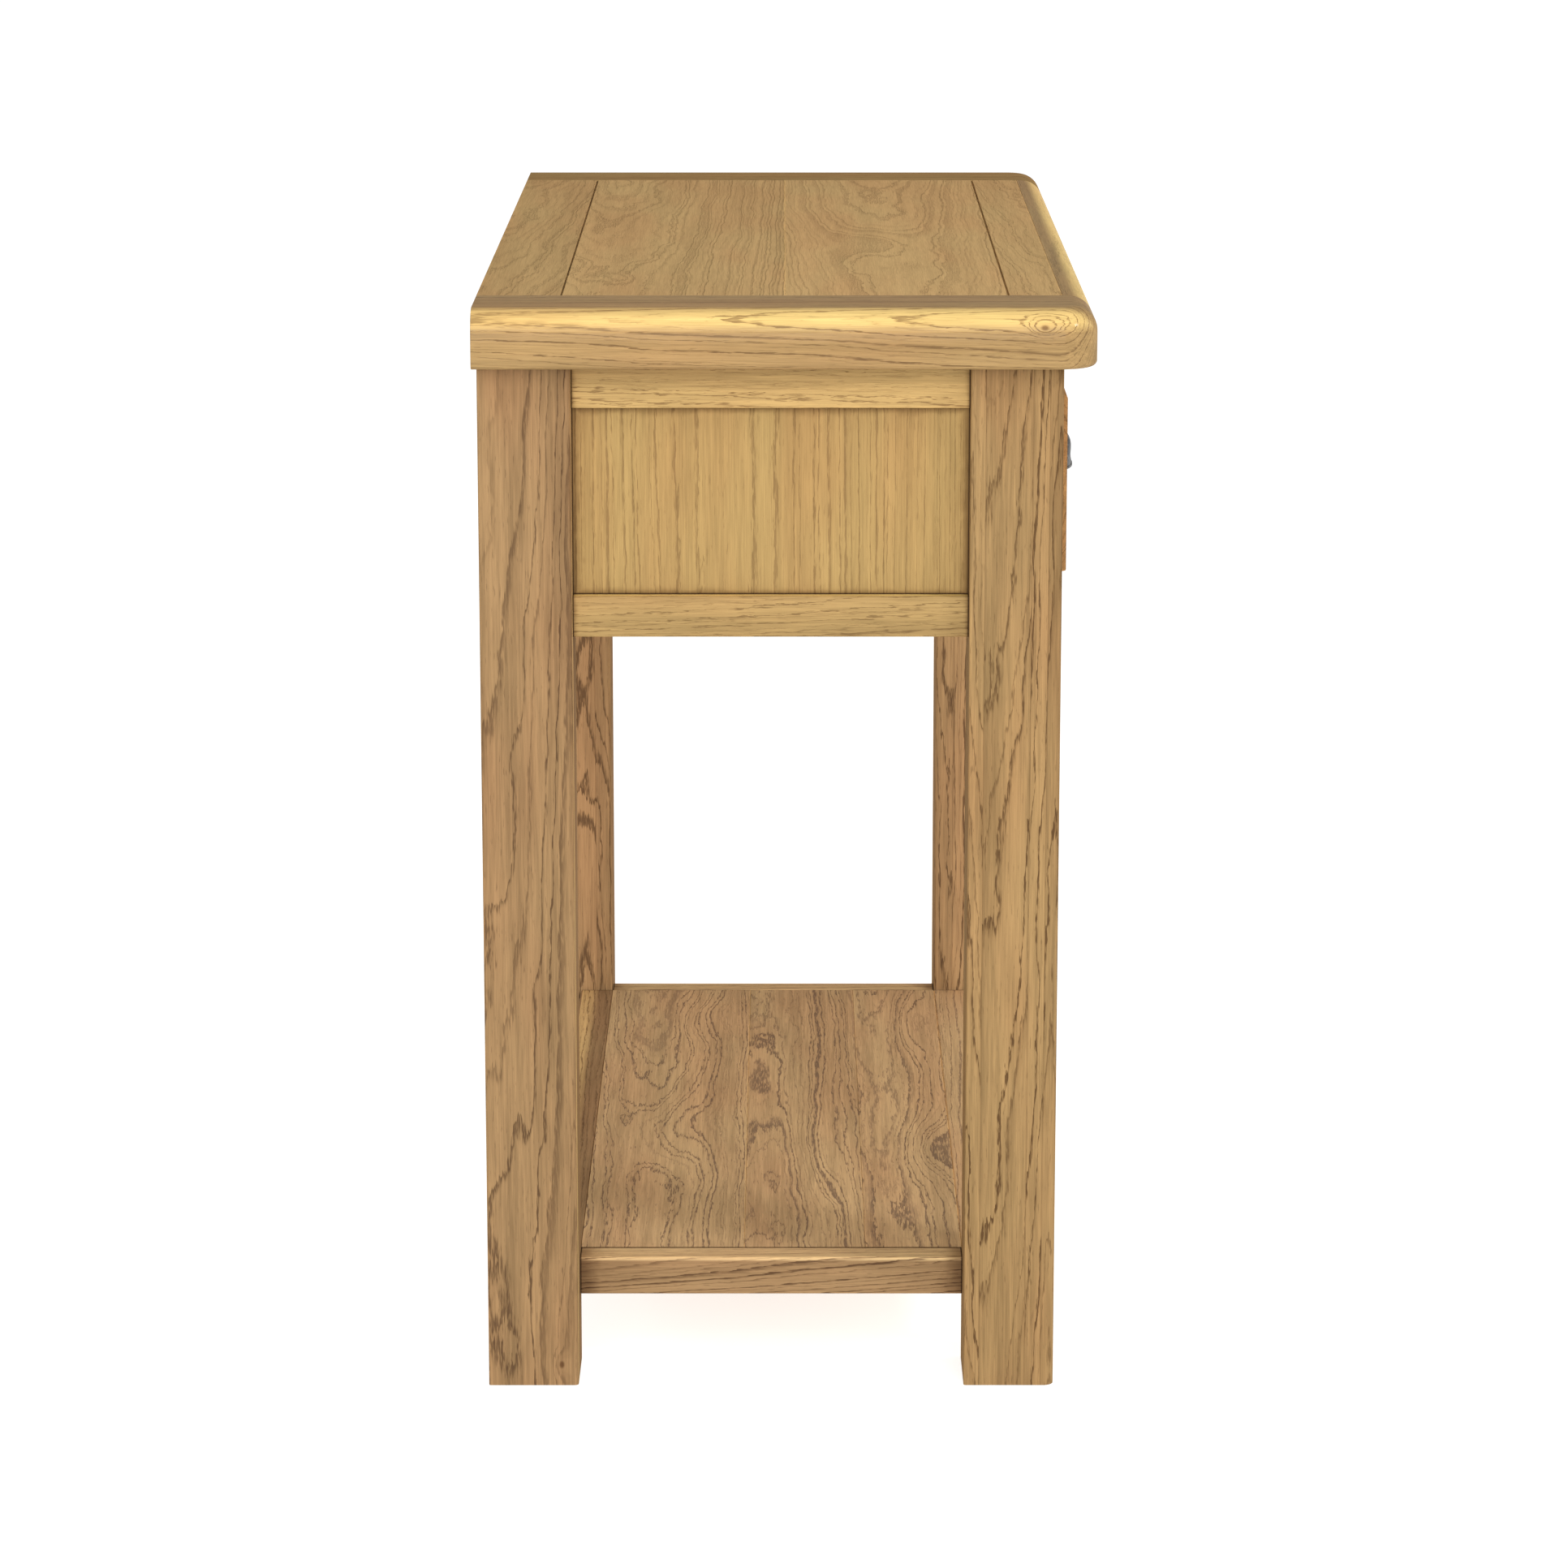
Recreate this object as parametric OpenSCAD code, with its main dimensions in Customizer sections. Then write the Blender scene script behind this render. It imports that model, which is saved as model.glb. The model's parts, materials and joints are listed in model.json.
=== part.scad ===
// Oak side table: panelled case with two cup-pull drawers over a low shelf.
// Millimetres, +Z up, front towards -Y, origin on the floor under the middle of the top.

/* [Overall] */
// Height from the floor to the top's surface
height = 750; // [620:1:920]
// Length of the top, left to right
top_l = 870; // [700:1:1100]
// Depth of the top, front to back
top_d = 414; // [340:1:520]

/* [Top] */
// Thickness of the top
top_t = 40; // [32:1:50]
// Overhang of the top past the legs at each end
end_overhang = 22; // [10:0.5:40]
// Overhang of the top past the front legs
front_overhang = 21.5; // [12:0.5:40]
// Overhang of the top past the back legs
back_overhang = 2.5; // [0:0.5:20]
// Width of each breadboard end
breadboard_w = 75; // [60:1:110]
// Width from each long edge of the top to its dark groove
edge_board_w = 57; // [40:1:80]
// Width of the rounded nosing strip along the front edge
nosing_w = 21; // [18:0.5:30]
// Radius rolled over the upper front and end edges
top_round = 17; // [8:0.5:20]
// Radius of the two front corners in plan
top_corner = 26; // [21:1:40]
// Small radius under the edges
under_round = 4; // [1:0.5:6]
// Width of the groove between edge boards and middle boards
groove_w = 1.4; // [0.6:0.1:3]
// Depth of that groove
groove_deep = 2; // [1:0.5:4]
// Length of the tongues that the breadboard ends hold
tongue_l = 14; // [8:1:25]
// Thickness of those tongues
tongue_t = 12; // [8:1:14]

/* [Legs] */
// Width and depth of each leg
leg_w = 62; // [50:1:80]
// Radius on the front outer arris of the front legs
leg_front_round = 7; // [2:0.5:10]
// Radius on the other leg arrises
leg_round = 3; // [1:0.5:5]

/* [Case] */
// Depth of the case under the top
case_h = 185; // [160:1:230]
// Height of the upper end and back rails
upper_rail_h = 30; // [26:1:45]
// Height of the lower end and back rails
lower_rail_h = 28; // [24:1:45]
// Height of the front rail over the drawers
front_upper_rail_h = 25.5; // [20:0.5:36]
// Height of the front rail under the drawers
front_lower_rail_h = 32.5; // [26:0.5:50]
// Thickness of every rail round the case
rail_t = 24; // [20:1:30]
// Set-back of the end rails from the legs' outer faces
end_rail_back = 10; // [2:0.5:16]
// Set-back of the front rails from the legs' front faces
front_rail_back = 3; // [0:0.5:6]
// Set-back of the back rails from the legs' back faces
back_rail_back = 6; // [2:0.5:14]
// Width of the post between the drawers
divider_w = 40; // [30:1:60]
// Thickness of the end and back panels
panel_t = 10; // [6:1:12]
// Recess of a panel behind the face of its rails
panel_recess = 7; // [3:0.5:9]
// Depth of the grooves that hold the panels
panel_in = 7; // [4:0.5:8]
// Radius on rail edges
rail_round = 1.5; // [0.5:0.5:3]

/* [Joinery] */
// Length of the tenons in the legs
tenon_l = 22; // [12:1:28]
// Thickness of the tenons
tenon_t = 9; // [6:0.5:12]
// Length of the stub tenons on the drawer divider
stub_l = 10; // [6:1:14]
// Shoulder between a tenon and its rail's edges
tenon_shoulder = 4; // [3:0.5:5]
// Clearance round each glued joint
joint_gap = 0.1; // [0.05:0.05:0.3]

/* [Shelf] */
// Height of the shelf's surface
shelf_z = 80; // [60:1:220]
// Thickness of the shelf boards
shelf_t = 15; // [12:1:17]
// Height of the rails round the shelf
shelf_rail_h = 27; // [25:1:50]
// Thickness of the shelf's end rails
shelf_end_rail_t = 22; // [18:1:30]
// Thickness of the shelf's front and back rails
shelf_long_rail_t = 26; // [20:1:30]
// Width of the back shelf board
shelf_back_board_w = 114; // [70:1:150]
// Width of the front shelf board
shelf_front_board_w = 67; // [50:1:90]
// Width of the cleats under the shelf
cleat_w = 18; // [14:1:26]

/* [Drawers] */
// Gap round each drawer front
drawer_gap = 2.5; // [1.5:0.5:4]
// Distance that a drawer front stands proud of the legs
drawer_proud = 6; // [0:0.5:10]
// Thickness of a drawer front
drawer_front_t = 22; // [20:1:28]
// Radius on the face of a drawer front
drawer_round = 5; // [1:0.5:7]
// Radius along the bottom of a drawer front
drawer_low_round = 1; // [0.5:0.5:5]
// Length of a drawer, face to back
drawer_l = 340; // [260:1:350]
// Height of the drawer sides
drawer_side_h = 112; // [80:1:118]
// Thickness of the drawer sides and back
drawer_side_t = 12; // [9:1:15]
// Thickness of the drawer bottom
drawer_bottom_t = 6; // [4:1:9]
// Height of the bottom panel above the sides' lower edges
drawer_bottom_up = 10; // [6:1:16]
// Depth of the grooves that hold the bottom
bottom_in = 6; // [3:0.5:7]
// Number of dovetails on each corner
dovetails = 4; // [2:1:6]

/* [Runners] */
// Clearance between a drawer and what it slides on
run_gap = 0.3; // [0.2:0.1:1]
// Width of the bearing strip under a drawer side
runner_w = 20; // [16:1:26]
// Height of the runners
runner_h = 25; // [18:1:30]
// Height of the guide fence above the drawer's lower edge
fence_h = 16; // [8:1:30]
// Clearance between a drawer side and the kicker above it
kicker_gap = 3; // [1.5:0.5:8]
// Length of the stop blocks behind the drawers
stop_l = 14; // [8:1:20]
// Gap between a closed drawer and its stops
stop_gap = 0.5; // [0.3:0.1:2]

/* [Cup pulls] */
// Width of a cup pull
pull_w = 64; // [56:1:110]
// Height of a cup pull
pull_h = 26; // [22:1:45]
// Projection of the cup
pull_out = 11; // [10:0.5:24]
// Further projection of the lip
pull_lip = 1; // [0.5:0.5:4]
// Thickness of the metal
pull_wall = 1.8; // [1.2:0.1:2.5]
// Distance between the pull's screws
pull_screws_apart = 38; // [32:1:60]

/* [Screws] */
// Radius of the wood screws
screw_r = 2; // [1.5:0.1:2.5]
// Radius of the machine screws in the pulls
pull_screw_r = 1.5; // [1.2:0.1:1.8]
// Clearance round a screw
screw_gap = 0.1; // [0.05:0.05:0.2]

/* [Hidden] */
$fn = 48;

oak = "peru";
oak_light = "burlywood";
iron = "dimgray";
steel = "silver";

eps = 0.01;
under_z = height - top_t;                 // underside of the top
case_z = under_z - case_h;                // underside of the case
leg_x = top_l / 2 - end_overhang;         // outer faces of the legs
leg_in_x = leg_x - leg_w;                 // inner faces of the legs
front_y = -(top_d / 2 - front_overhang);  // front faces of the front legs
back_y = top_d / 2 - back_overhang;       // back faces of the back legs
front_in_y = front_y + leg_w;
back_in_y = back_y - leg_w;
field_x = top_l / 2 - breadboard_w;       // seam between boards and breadboard ends
tongue_z = under_z + (top_t - tongue_t) / 2;
end_rail_x = leg_x - end_rail_back;       // outer faces of the end rails
end_rail_in_x = end_rail_x - rail_t;
front_rail_y = front_y + front_rail_back;
front_rail_in_y = front_rail_y + rail_t;
back_rail_y = back_y - back_rail_back;
back_rail_in_y = back_rail_y - rail_t;
end_panel_x = end_rail_x - panel_recess;  // outer faces of the end panels
back_panel_y = back_rail_y - panel_recess;
panel_z0 = case_z + lower_rail_h - panel_in;
panel_z1 = under_z - upper_rail_h + panel_in;
opening_z0 = case_z + front_lower_rail_h; // drawer openings
opening_z1 = under_z - front_upper_rail_h;
shelf_y0 = front_in_y;                    // inner faces of the shelf's long rails
shelf_y1 = back_in_y;
shelf_rail_z = shelf_z - shelf_rail_h;
drawer_w = leg_in_x - divider_w / 2 - 2 * drawer_gap;
drawer_h = opening_z1 - opening_z0 - 2 * drawer_gap;
drawer_z = opening_z0 + drawer_gap;       // lower edges of fronts and sides
drawer_x = (leg_in_x + divider_w / 2) / 2; // middle of the right drawer
drawer_y = front_y - drawer_proud;        // faces of the drawer fronts
drawer_front_in_y = drawer_y + drawer_front_t;
drawer_end_y = drawer_y + drawer_l;
drawer_back_z = drawer_z + drawer_bottom_up + drawer_bottom_t + joint_gap;
runner_z1 = drawer_z - run_gap;           // bearing surface of the runners
runner_z0 = runner_z1 - runner_h;
kicker_z = drawer_z + drawer_side_h + kicker_gap;
pull_z = drawer_z + (drawer_h - pull_h) / 2; // lip of the cup pulls
top_screw_l = under_z - kicker_z + top_t / 2;
shelf_screw_l = shelf_rail_h - shelf_t + shelf_t * 0.6;
counterbore = 6;
head_r = 2 * screw_r;

function between(a, b, share) = a + (b - a) * share;

// Box between two corners.
module box(low, high) {
    translate(low) cube([for (i = [0:2]) high[i] - low[i]]);
}

// Copies of children on the left side, which is where they are drawn, and on the right.
module both_ends() {
    children();
    mirror([1, 0, 0]) children();
}

// Rectangle from [0, 0] to [w, d] with its own radius at each corner:
// r = [left near, right near, right far, left far].
module soft_rect(w, d, r) {
    centres = [[r[0], r[0]], [w - r[1], r[1]], [w - r[2], d - r[2]], [r[3], d - r[3]]];
    corners = [[-eps, -eps], [w - r[1], -eps], [w - r[2], d - r[2]], [-eps, d - r[3]]];
    difference() {
        square([w, d]);
        for (i = [0:3]) translate(corners[i]) square(r[i] + eps);
    }
    for (i = [0:3]) translate(centres[i]) circle(r[i]);
}

// Bar along X between two corners, with its four long edges softened.
module bar_x(low, high, r) {
    h = high[2] - low[2];
    translate([low[0], low[1], low[2]]) rotate([90, 0, 90])
        linear_extrude(high[0] - low[0]) soft_rect(high[1] - low[1], h, [r, r, r, r]);
}

// Bar along Y between two corners, with its four long edges softened.
module bar_y(low, high, r) {
    h = high[2] - low[2];
    translate([low[0], high[1], low[2]]) rotate([90, 0, 0])
        linear_extrude(high[1] - low[1]) soft_rect(high[0] - low[0], h, [r, r, r, r]);
}

// ---------- top ----------

// Section through a moulded edge of width w: the moulded side faces +X, the cut side is at 0.
module edge_section(w) {
    intersection() {
        square([w, top_t]);
        union() {
            difference() {
                square([w, top_t]);
                translate([w - top_round, top_t - top_round]) square(top_round + eps);
                translate([w - under_round, -eps]) square(under_round + eps);
            }
            translate([w - top_round, top_t - top_round]) circle(top_round);
            translate([w - under_round, under_round]) circle(under_round);
        }
    }
}

// Right-hand breadboard end: moulded end and front edges meeting in a round corner.
module breadboard() {
    corner_x = top_l / 2 - top_corner;
    corner_y = -top_d / 2 + top_corner;
    difference() {
        translate([0, 0, under_z]) {
            translate([corner_x, top_d / 2, 0]) rotate([90, 0, 0])
                linear_extrude(top_d - top_corner) edge_section(top_corner);
            translate([corner_x, corner_y, 0]) rotate([0, 0, -90])
                rotate_extrude(angle = 90) edge_section(top_corner);
            translate([field_x, corner_y, 0]) rotate([90, 0, -90])
                mirror([0, 0, 1]) linear_extrude(corner_x - field_x) edge_section(top_corner);
            box([field_x, corner_y, 0], [corner_x, top_d / 2, top_t]);
        }
        box([field_x - 1, -top_d / 2 + nosing_w - joint_gap, tongue_z - joint_gap],
            [field_x + tongue_l + 1, top_d / 2 - nosing_w, tongue_z + tongue_t + joint_gap]);
    }
}

// Board of the top between two depths. A groove is cut along its front or its back edge.
module top_board(y0, y1, front_groove = 0, back_groove = 0, end_stop = 0) {
    tongue_x = field_x + tongue_l;
    groove_z = height - groove_deep;
    difference() {
        union() {
            box([-field_x, y0, under_z], [field_x, y1, height]);
            box([-tongue_x, y0, tongue_z], [tongue_x, y1 - end_stop, tongue_z + tongue_t]);
        }
        if (front_groove > 0)
            box([-field_x - 1, y0 - 1, groove_z], [field_x + 1, y0 + front_groove, height + 1]);
        if (back_groove > 0)
            box([-field_x - 1, y1 - back_groove, groove_z], [field_x + 1, y1 + 1, height + 1]);
        top_screw_pilots();
    }
}

module top_front_nosing() {
    difference() {
        translate([-field_x, -top_d / 2 + nosing_w, under_z]) rotate([90, 0, -90])
            mirror([0, 0, 1]) linear_extrude(2 * field_x) edge_section(nosing_w);
        top_screw_pilots();
    }
}

// ---------- legs ----------

// Blank of a left leg. The front legs have a fuller radius on their outer front arris.
module leg_blank(y0, outer_r) {
    translate([-leg_x, y0, 0]) linear_extrude(under_z)
        soft_rect(leg_w, leg_w, [outer_r, leg_round, leg_round, leg_round / 2]);
}

module leg_front() {
    difference() {
        leg_blank(front_y, leg_front_round);
        left_tenons(joint_gap);
        end_panel(joint_gap);
    }
}

module leg_back() {
    difference() {
        leg_blank(back_in_y, leg_round);
        left_tenons(joint_gap);
        end_panel(joint_gap);
        back_panel(joint_gap);
    }
}

// ---------- rails ----------

// Every tenon at the left end of the table, grown by g on all sides for its mortise.
module left_tenons(g) {
    end_rail_tenons(case_z + tenon_shoulder, case_z + lower_rail_h - panel_in - tenon_shoulder / 2,
        end_rail_x - rail_t / 2, g);
    end_rail_tenons(under_z - upper_rail_h + panel_in + tenon_shoulder / 2, under_z - tenon_shoulder,
        end_rail_x - rail_t / 2, g);
    end_rail_tenons(shelf_z - shelf_rail_h / 2 + 1, shelf_z - tenon_shoulder,
        leg_in_x + shelf_end_rail_t / 2, g);
    long_rail_tenon(case_z + tenon_shoulder, opening_z0 - tenon_shoulder, front_rail_y + rail_t / 2, g);
    long_rail_tenon(opening_z1 + tenon_shoulder, under_z - tenon_shoulder, front_rail_y + rail_t / 2, g);
    long_rail_tenon(case_z + tenon_shoulder, case_z + lower_rail_h - panel_in - tenon_shoulder / 2,
        back_rail_y - rail_t / 2, g);
    long_rail_tenon(under_z - upper_rail_h + panel_in + tenon_shoulder / 2, under_z - tenon_shoulder,
        back_rail_y - rail_t / 2, g);
    for (y = [shelf_y0 - shelf_long_rail_t / 2, shelf_y1 + shelf_long_rail_t / 2])
        long_rail_tenon(shelf_rail_z + tenon_shoulder, shelf_z - shelf_rail_h / 2 - 1, y, g);
}

// Tenons at both ends of a rail that runs along Y, centred on x = -x0.
module end_rail_tenons(z0, z1, x0, g) {
    box([-x0 - tenon_t / 2 - g, front_in_y - tenon_l - g, z0 - g],
        [-x0 + tenon_t / 2 + g, front_in_y + eps, z1 + g]);
    box([-x0 - tenon_t / 2 - g, back_in_y - eps, z0 - g],
        [-x0 + tenon_t / 2 + g, back_in_y + tenon_l + g, z1 + g]);
}

// Tenon at the left end of a rail that runs along X, centred on y0.
module long_rail_tenon(z0, z1, y0, g) {
    box([-leg_in_x - tenon_l - g, y0 - tenon_t / 2 - g, z0 - g],
        [-leg_in_x + eps, y0 + tenon_t / 2 + g, z1 + g]);
}

module end_upper_rail() {
    z0 = under_z - upper_rail_h;
    difference() {
        bar_y([-end_rail_x, front_in_y, z0], [-end_rail_in_x, back_in_y, under_z], rail_round);
        end_panel(joint_gap);
    }
    end_rail_tenons(z0 + panel_in + tenon_shoulder / 2, under_z - tenon_shoulder,
        end_rail_x - rail_t / 2, 0);
}

module end_lower_rail() {
    z1 = case_z + lower_rail_h;
    difference() {
        bar_y([-end_rail_x, front_in_y, case_z], [-end_rail_in_x, back_in_y, z1], rail_round);
        end_panel(joint_gap);
        mirror([1, 0, 0]) runner_screw_holes(screw_r + screw_gap / 2);
    }
    end_rail_tenons(case_z + tenon_shoulder, z1 - panel_in - tenon_shoulder / 2, end_rail_x - rail_t / 2, 0);
}

module end_panel(g = 0) {
    box([-end_panel_x - g, front_in_y - panel_in - g, panel_z0 - g],
        [-end_panel_x + panel_t + g, back_in_y + panel_in + g, panel_z1 + g]);
}

module back_panel(g = 0) {
    box([-leg_in_x - panel_in - g, back_panel_y - panel_t - g, panel_z0 - g],
        [leg_in_x + panel_in + g, back_panel_y + g, panel_z1 + g]);
}

// Upright core of the divider, whose ends are the stub tenons.
module divider_core(g) {
    y0 = front_rail_y + rail_t / 2;
    box([-divider_w / 2 + tenon_shoulder - g, y0 - tenon_t / 2 - g, opening_z0 - stub_l - g],
        [divider_w / 2 - tenon_shoulder + g, y0 + tenon_t / 2 + g, opening_z1 + stub_l + g]);
}

module front_upper_rail() {
    difference() {
        bar_x([-leg_in_x, front_rail_y, opening_z1], [leg_in_x, front_rail_in_y, under_z], rail_round);
        divider_core(joint_gap);
    }
    both_ends() long_rail_tenon(opening_z1 + tenon_shoulder, under_z - tenon_shoulder,
        front_rail_y + rail_t / 2, 0);
}

module front_lower_rail() {
    difference() {
        bar_x([-leg_in_x, front_rail_y, case_z], [leg_in_x, front_rail_in_y, opening_z0], rail_round);
        divider_core(joint_gap);
    }
    both_ends() long_rail_tenon(case_z + tenon_shoulder, opening_z0 - tenon_shoulder,
        front_rail_y + rail_t / 2, 0);
}

module drawer_divider() {
    translate([-divider_w / 2, front_rail_y, opening_z0]) linear_extrude(opening_z1 - opening_z0)
        soft_rect(divider_w, rail_t, [rail_round, rail_round, rail_round, rail_round]);
    divider_core(0);
}

module back_upper_rail() {
    z0 = under_z - upper_rail_h;
    difference() {
        bar_x([-leg_in_x, back_rail_in_y, z0], [leg_in_x, back_rail_y, under_z], rail_round);
        back_panel(joint_gap);
    }
    both_ends() long_rail_tenon(z0 + panel_in + tenon_shoulder / 2, under_z - tenon_shoulder,
        back_rail_y - rail_t / 2, 0);
}

module back_lower_rail() {
    z1 = case_z + lower_rail_h;
    difference() {
        bar_x([-leg_in_x, back_rail_in_y, case_z], [leg_in_x, back_rail_y, z1], rail_round);
        back_panel(joint_gap);
    }
    both_ends() long_rail_tenon(case_z + tenon_shoulder, z1 - panel_in - tenon_shoulder / 2,
        back_rail_y - rail_t / 2, 0);
}

// ---------- runners, kickers and stops ----------

// Bearing strip along the right end, with a guide fence between the legs.
module runner_end() {
    difference() {
        union() {
            box([leg_in_x - runner_w, front_rail_in_y, runner_z0], [leg_in_x, back_rail_in_y, runner_z1]);
            box([leg_in_x - eps, front_in_y, runner_z0], [end_rail_in_x, back_in_y, runner_z1 + fence_h]);
        }
        runner_screw_holes(screw_r + screw_gap);
        runner_screw_counterbores();
    }
}

module runner_centre() {
    w = divider_w / 2;
    box([-w - runner_w, front_rail_in_y, runner_z0], [w + runner_w, back_rail_in_y, runner_z1]);
    box([-w, front_rail_in_y, runner_z1 - eps], [w, back_rail_in_y, runner_z1 + fence_h]);
}

function runner_screw_ys() = [for (share = [0.2, 0.8]) between(front_in_y, back_in_y, share)];
runner_screw_z = (runner_z0 + case_z + lower_rail_h) / 2;

module at_runner_screws() {
    for (y = runner_screw_ys()) translate([leg_in_x + counterbore, y, runner_screw_z])
        rotate([0, 90, 0]) children();
}

module runner_screw_holes(r) {
    at_runner_screws() cylinder(r = r, h = runner_screw_l());
}

function runner_screw_l() = end_rail_in_x - leg_in_x - counterbore + rail_t / 3;

module runner_screw_counterbores() {
    at_runner_screws() translate([0, 0, -counterbore - runner_w - 1])
        cylinder(r = head_r + screw_gap, h = counterbore + runner_w + 1);
}

module runner_screws() {
    both_ends() at_runner_screws() pan_screw(screw_r, runner_screw_l() - 1);
}

// Screw with its head's underside at the origin and its shank along +Z.
module pan_screw(r, l) {
    difference() {
        translate([0, 0, -1.1 * r]) cylinder(r1 = 1.7 * r, r2 = 2 * r, h = 1.1 * r);
        for (turn = [0, 90]) rotate([0, 0, turn])
            translate([-1.2 * r, -0.2 * r, -1.1 * r - eps]) cube([2.4 * r, 0.4 * r, 0.6 * r]);
    }
    translate([0, 0, -eps]) cylinder(r = r, h = l - r);
    translate([0, 0, l - r - eps]) cylinder(r1 = r, r2 = 0.3 * r, h = r);
}

// Kicker over the drawer sides, centred on x0.
module kicker(x0, w) {
    difference() {
        box([x0 - w / 2, front_rail_in_y, kicker_z], [x0 + w / 2, back_rail_in_y, under_z]);
        at_top_screws() cylinder(r = screw_r + screw_gap, h = top_screw_l);
        at_top_screws() translate([0, 0, -counterbore - 1])
            cylinder(r = head_r + screw_gap, h = counterbore + 1);
    }
}

kicker_x = leg_in_x - runner_w / 2;
function top_screw_ys() = [for (share = [0.15, 0.85]) between(front_rail_in_y, back_rail_in_y, share)];

module at_top_screws() {
    for (x = [-kicker_x, 0, kicker_x], y = top_screw_ys())
        translate([x, y, kicker_z + counterbore]) children();
}

module top_screw_pilots() {
    at_top_screws() cylinder(r = screw_r + screw_gap / 2, h = top_screw_l - counterbore + 1);
}

module top_screws() {
    at_top_screws() pan_screw(screw_r, top_screw_l - counterbore);
}

module drawer_stops() {
    y0 = drawer_end_y + stop_gap;
    side = drawer_side_t + drawer_gap - joint_gap;
    starts = [-leg_in_x + joint_gap, -divider_w / 2 - side - joint_gap, divider_w / 2 + joint_gap,
        leg_in_x - side - joint_gap];
    for (x = starts) box([x, y0, runner_z1], [x + side, y0 + stop_l, runner_z1 + fence_h]);
}

// ---------- shelf ----------

module shelf_end_rail() {
    x0 = leg_in_x + shelf_end_rail_t;
    bar_y([-x0, front_in_y, shelf_rail_z], [-leg_in_x, back_in_y, shelf_z], rail_round);
    end_rail_tenons(shelf_z - shelf_rail_h / 2 + 1, shelf_z - tenon_shoulder,
        leg_in_x + shelf_end_rail_t / 2, 0);
}

// Long rail of the shelf between two depths.
module shelf_long_rail(y0) {
    bar_x([-leg_in_x, y0, shelf_rail_z], [leg_in_x, y0 + shelf_long_rail_t, shelf_z], rail_round);
    both_ends() long_rail_tenon(shelf_rail_z + tenon_shoulder, shelf_z - shelf_rail_h / 2 - 1,
        y0 + shelf_long_rail_t / 2, 0);
}

module shelf_board(y0, y1) {
    difference() {
        box([-leg_in_x, y0, shelf_z - shelf_t], [leg_in_x, y1, shelf_z]);
        at_shelf_screws() cylinder(r = screw_r + screw_gap, h = shelf_screw_l + 1);
    }
}

function shelf_screw_xs() = [for (share = [0.08, 0.5, 0.92]) between(-leg_in_x, leg_in_x, share)];

module at_shelf_screws() {
    for (x = shelf_screw_xs(), y = [shelf_y0 + cleat_w / 2, shelf_y1 - cleat_w / 2])
        translate([x, y, shelf_rail_z + 3]) children();
}

module shelf_cleats() {
    difference() {
        for (y = [shelf_y0, shelf_y1 - cleat_w])
            box([-leg_in_x + 1, y, shelf_rail_z], [leg_in_x - 1, y + cleat_w, shelf_z - shelf_t]);
        at_shelf_screws() cylinder(r = screw_r + screw_gap, h = shelf_rail_h);
        at_shelf_screws() translate([0, 0, -4]) cylinder(r = head_r + screw_gap, h = 4);
    }
}

module shelf_screws() {
    at_shelf_screws() pan_screw(screw_r, shelf_screw_l - 3);
}

// ---------- drawers ----------

// Pins that stand between dovetails, as prisms along X from x0 to x1.
// They are narrow at y_tip and wide at y_root, and g grows them on both flanks.
module pins(x0, x1, y_tip, y_root, z0, z1, g) {
    pitch = (z1 - z0) / dovetails;
    tip = pitch * 0.14 + g;
    root = pitch * 0.26 + g;
    intersection() {
        for (i = [0:dovetails]) translate([x0, 0, z0 + i * pitch])
            rotate([90, 0, 90]) linear_extrude(x1 - x0)
                polygon([[y_tip, -tip], [y_root, -root], [y_root, root], [y_tip, tip]]);
        box([x0 - 1, min(y_tip, y_root) - 1, z0 - (g > 0 ? 1 : 0)],
            [x1 + 1, max(y_tip, y_root) + 1, z1 + (g > 0 ? 1 : 0)]);
    }
}

tail_l = drawer_side_t;
tail_y = drawer_front_in_y - tail_l;
side_z1 = drawer_z + drawer_side_h;

// Drawer parts are drawn round x = 0 and moved to either opening.
module in_opening(side) {
    translate([side * drawer_x, 0, 0]) children();
}

module drawer_side_slots(g) {
    for (x = [-drawer_w / 2 - 1, drawer_w / 2 - drawer_side_t - g])
        box([x, tail_y - g, drawer_z - g], [x + drawer_side_t + g + 1, drawer_front_in_y + 1, side_z1 + g]);
}

module drawer_front() {
    r = drawer_round;
    difference() {
        intersection() {
            translate([-drawer_w / 2, drawer_y, drawer_z]) rotate([90, 0, 90]) linear_extrude(drawer_w)
                soft_rect(drawer_front_t, drawer_h, [drawer_low_round, 0.5, 0.5, r]);
            translate([-drawer_w / 2, drawer_y, drawer_z - 1]) linear_extrude(drawer_h + 2)
                soft_rect(drawer_w, drawer_front_t, [r, r, 0.5, 0.5]);
        }
        drawer_side_slots(joint_gap);
        drawer_bottom(joint_gap);
        at_pull_screws() rotate([-90, 0, 0]) translate([0, 0, -1])
            cylinder(r = pull_screw_r + screw_gap, h = drawer_front_t + 2);
    }
    for (x = [-drawer_w / 2 + 0.5, drawer_w / 2 - drawer_side_t - 2 * joint_gap])
        pins(x, x + drawer_side_t + 2 * joint_gap - 0.5, tail_y - 2 * joint_gap, drawer_front_in_y,
            drawer_z, side_z1, 0);
}

module drawer_side(x0) {
    back_root_y = drawer_end_y - drawer_side_t;
    difference() {
        box([x0, tail_y, drawer_z], [x0 + drawer_side_t, drawer_end_y, side_z1]);
        pins(x0 - 1, x0 + drawer_side_t + 1, tail_y - 2 * joint_gap, drawer_front_in_y,
            drawer_z, side_z1, joint_gap);
        pins(x0 - 1, x0 + drawer_side_t + 1, drawer_end_y + 2 * joint_gap, back_root_y,
            drawer_back_z, side_z1, joint_gap);
        drawer_bottom(joint_gap);
    }
}

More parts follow.
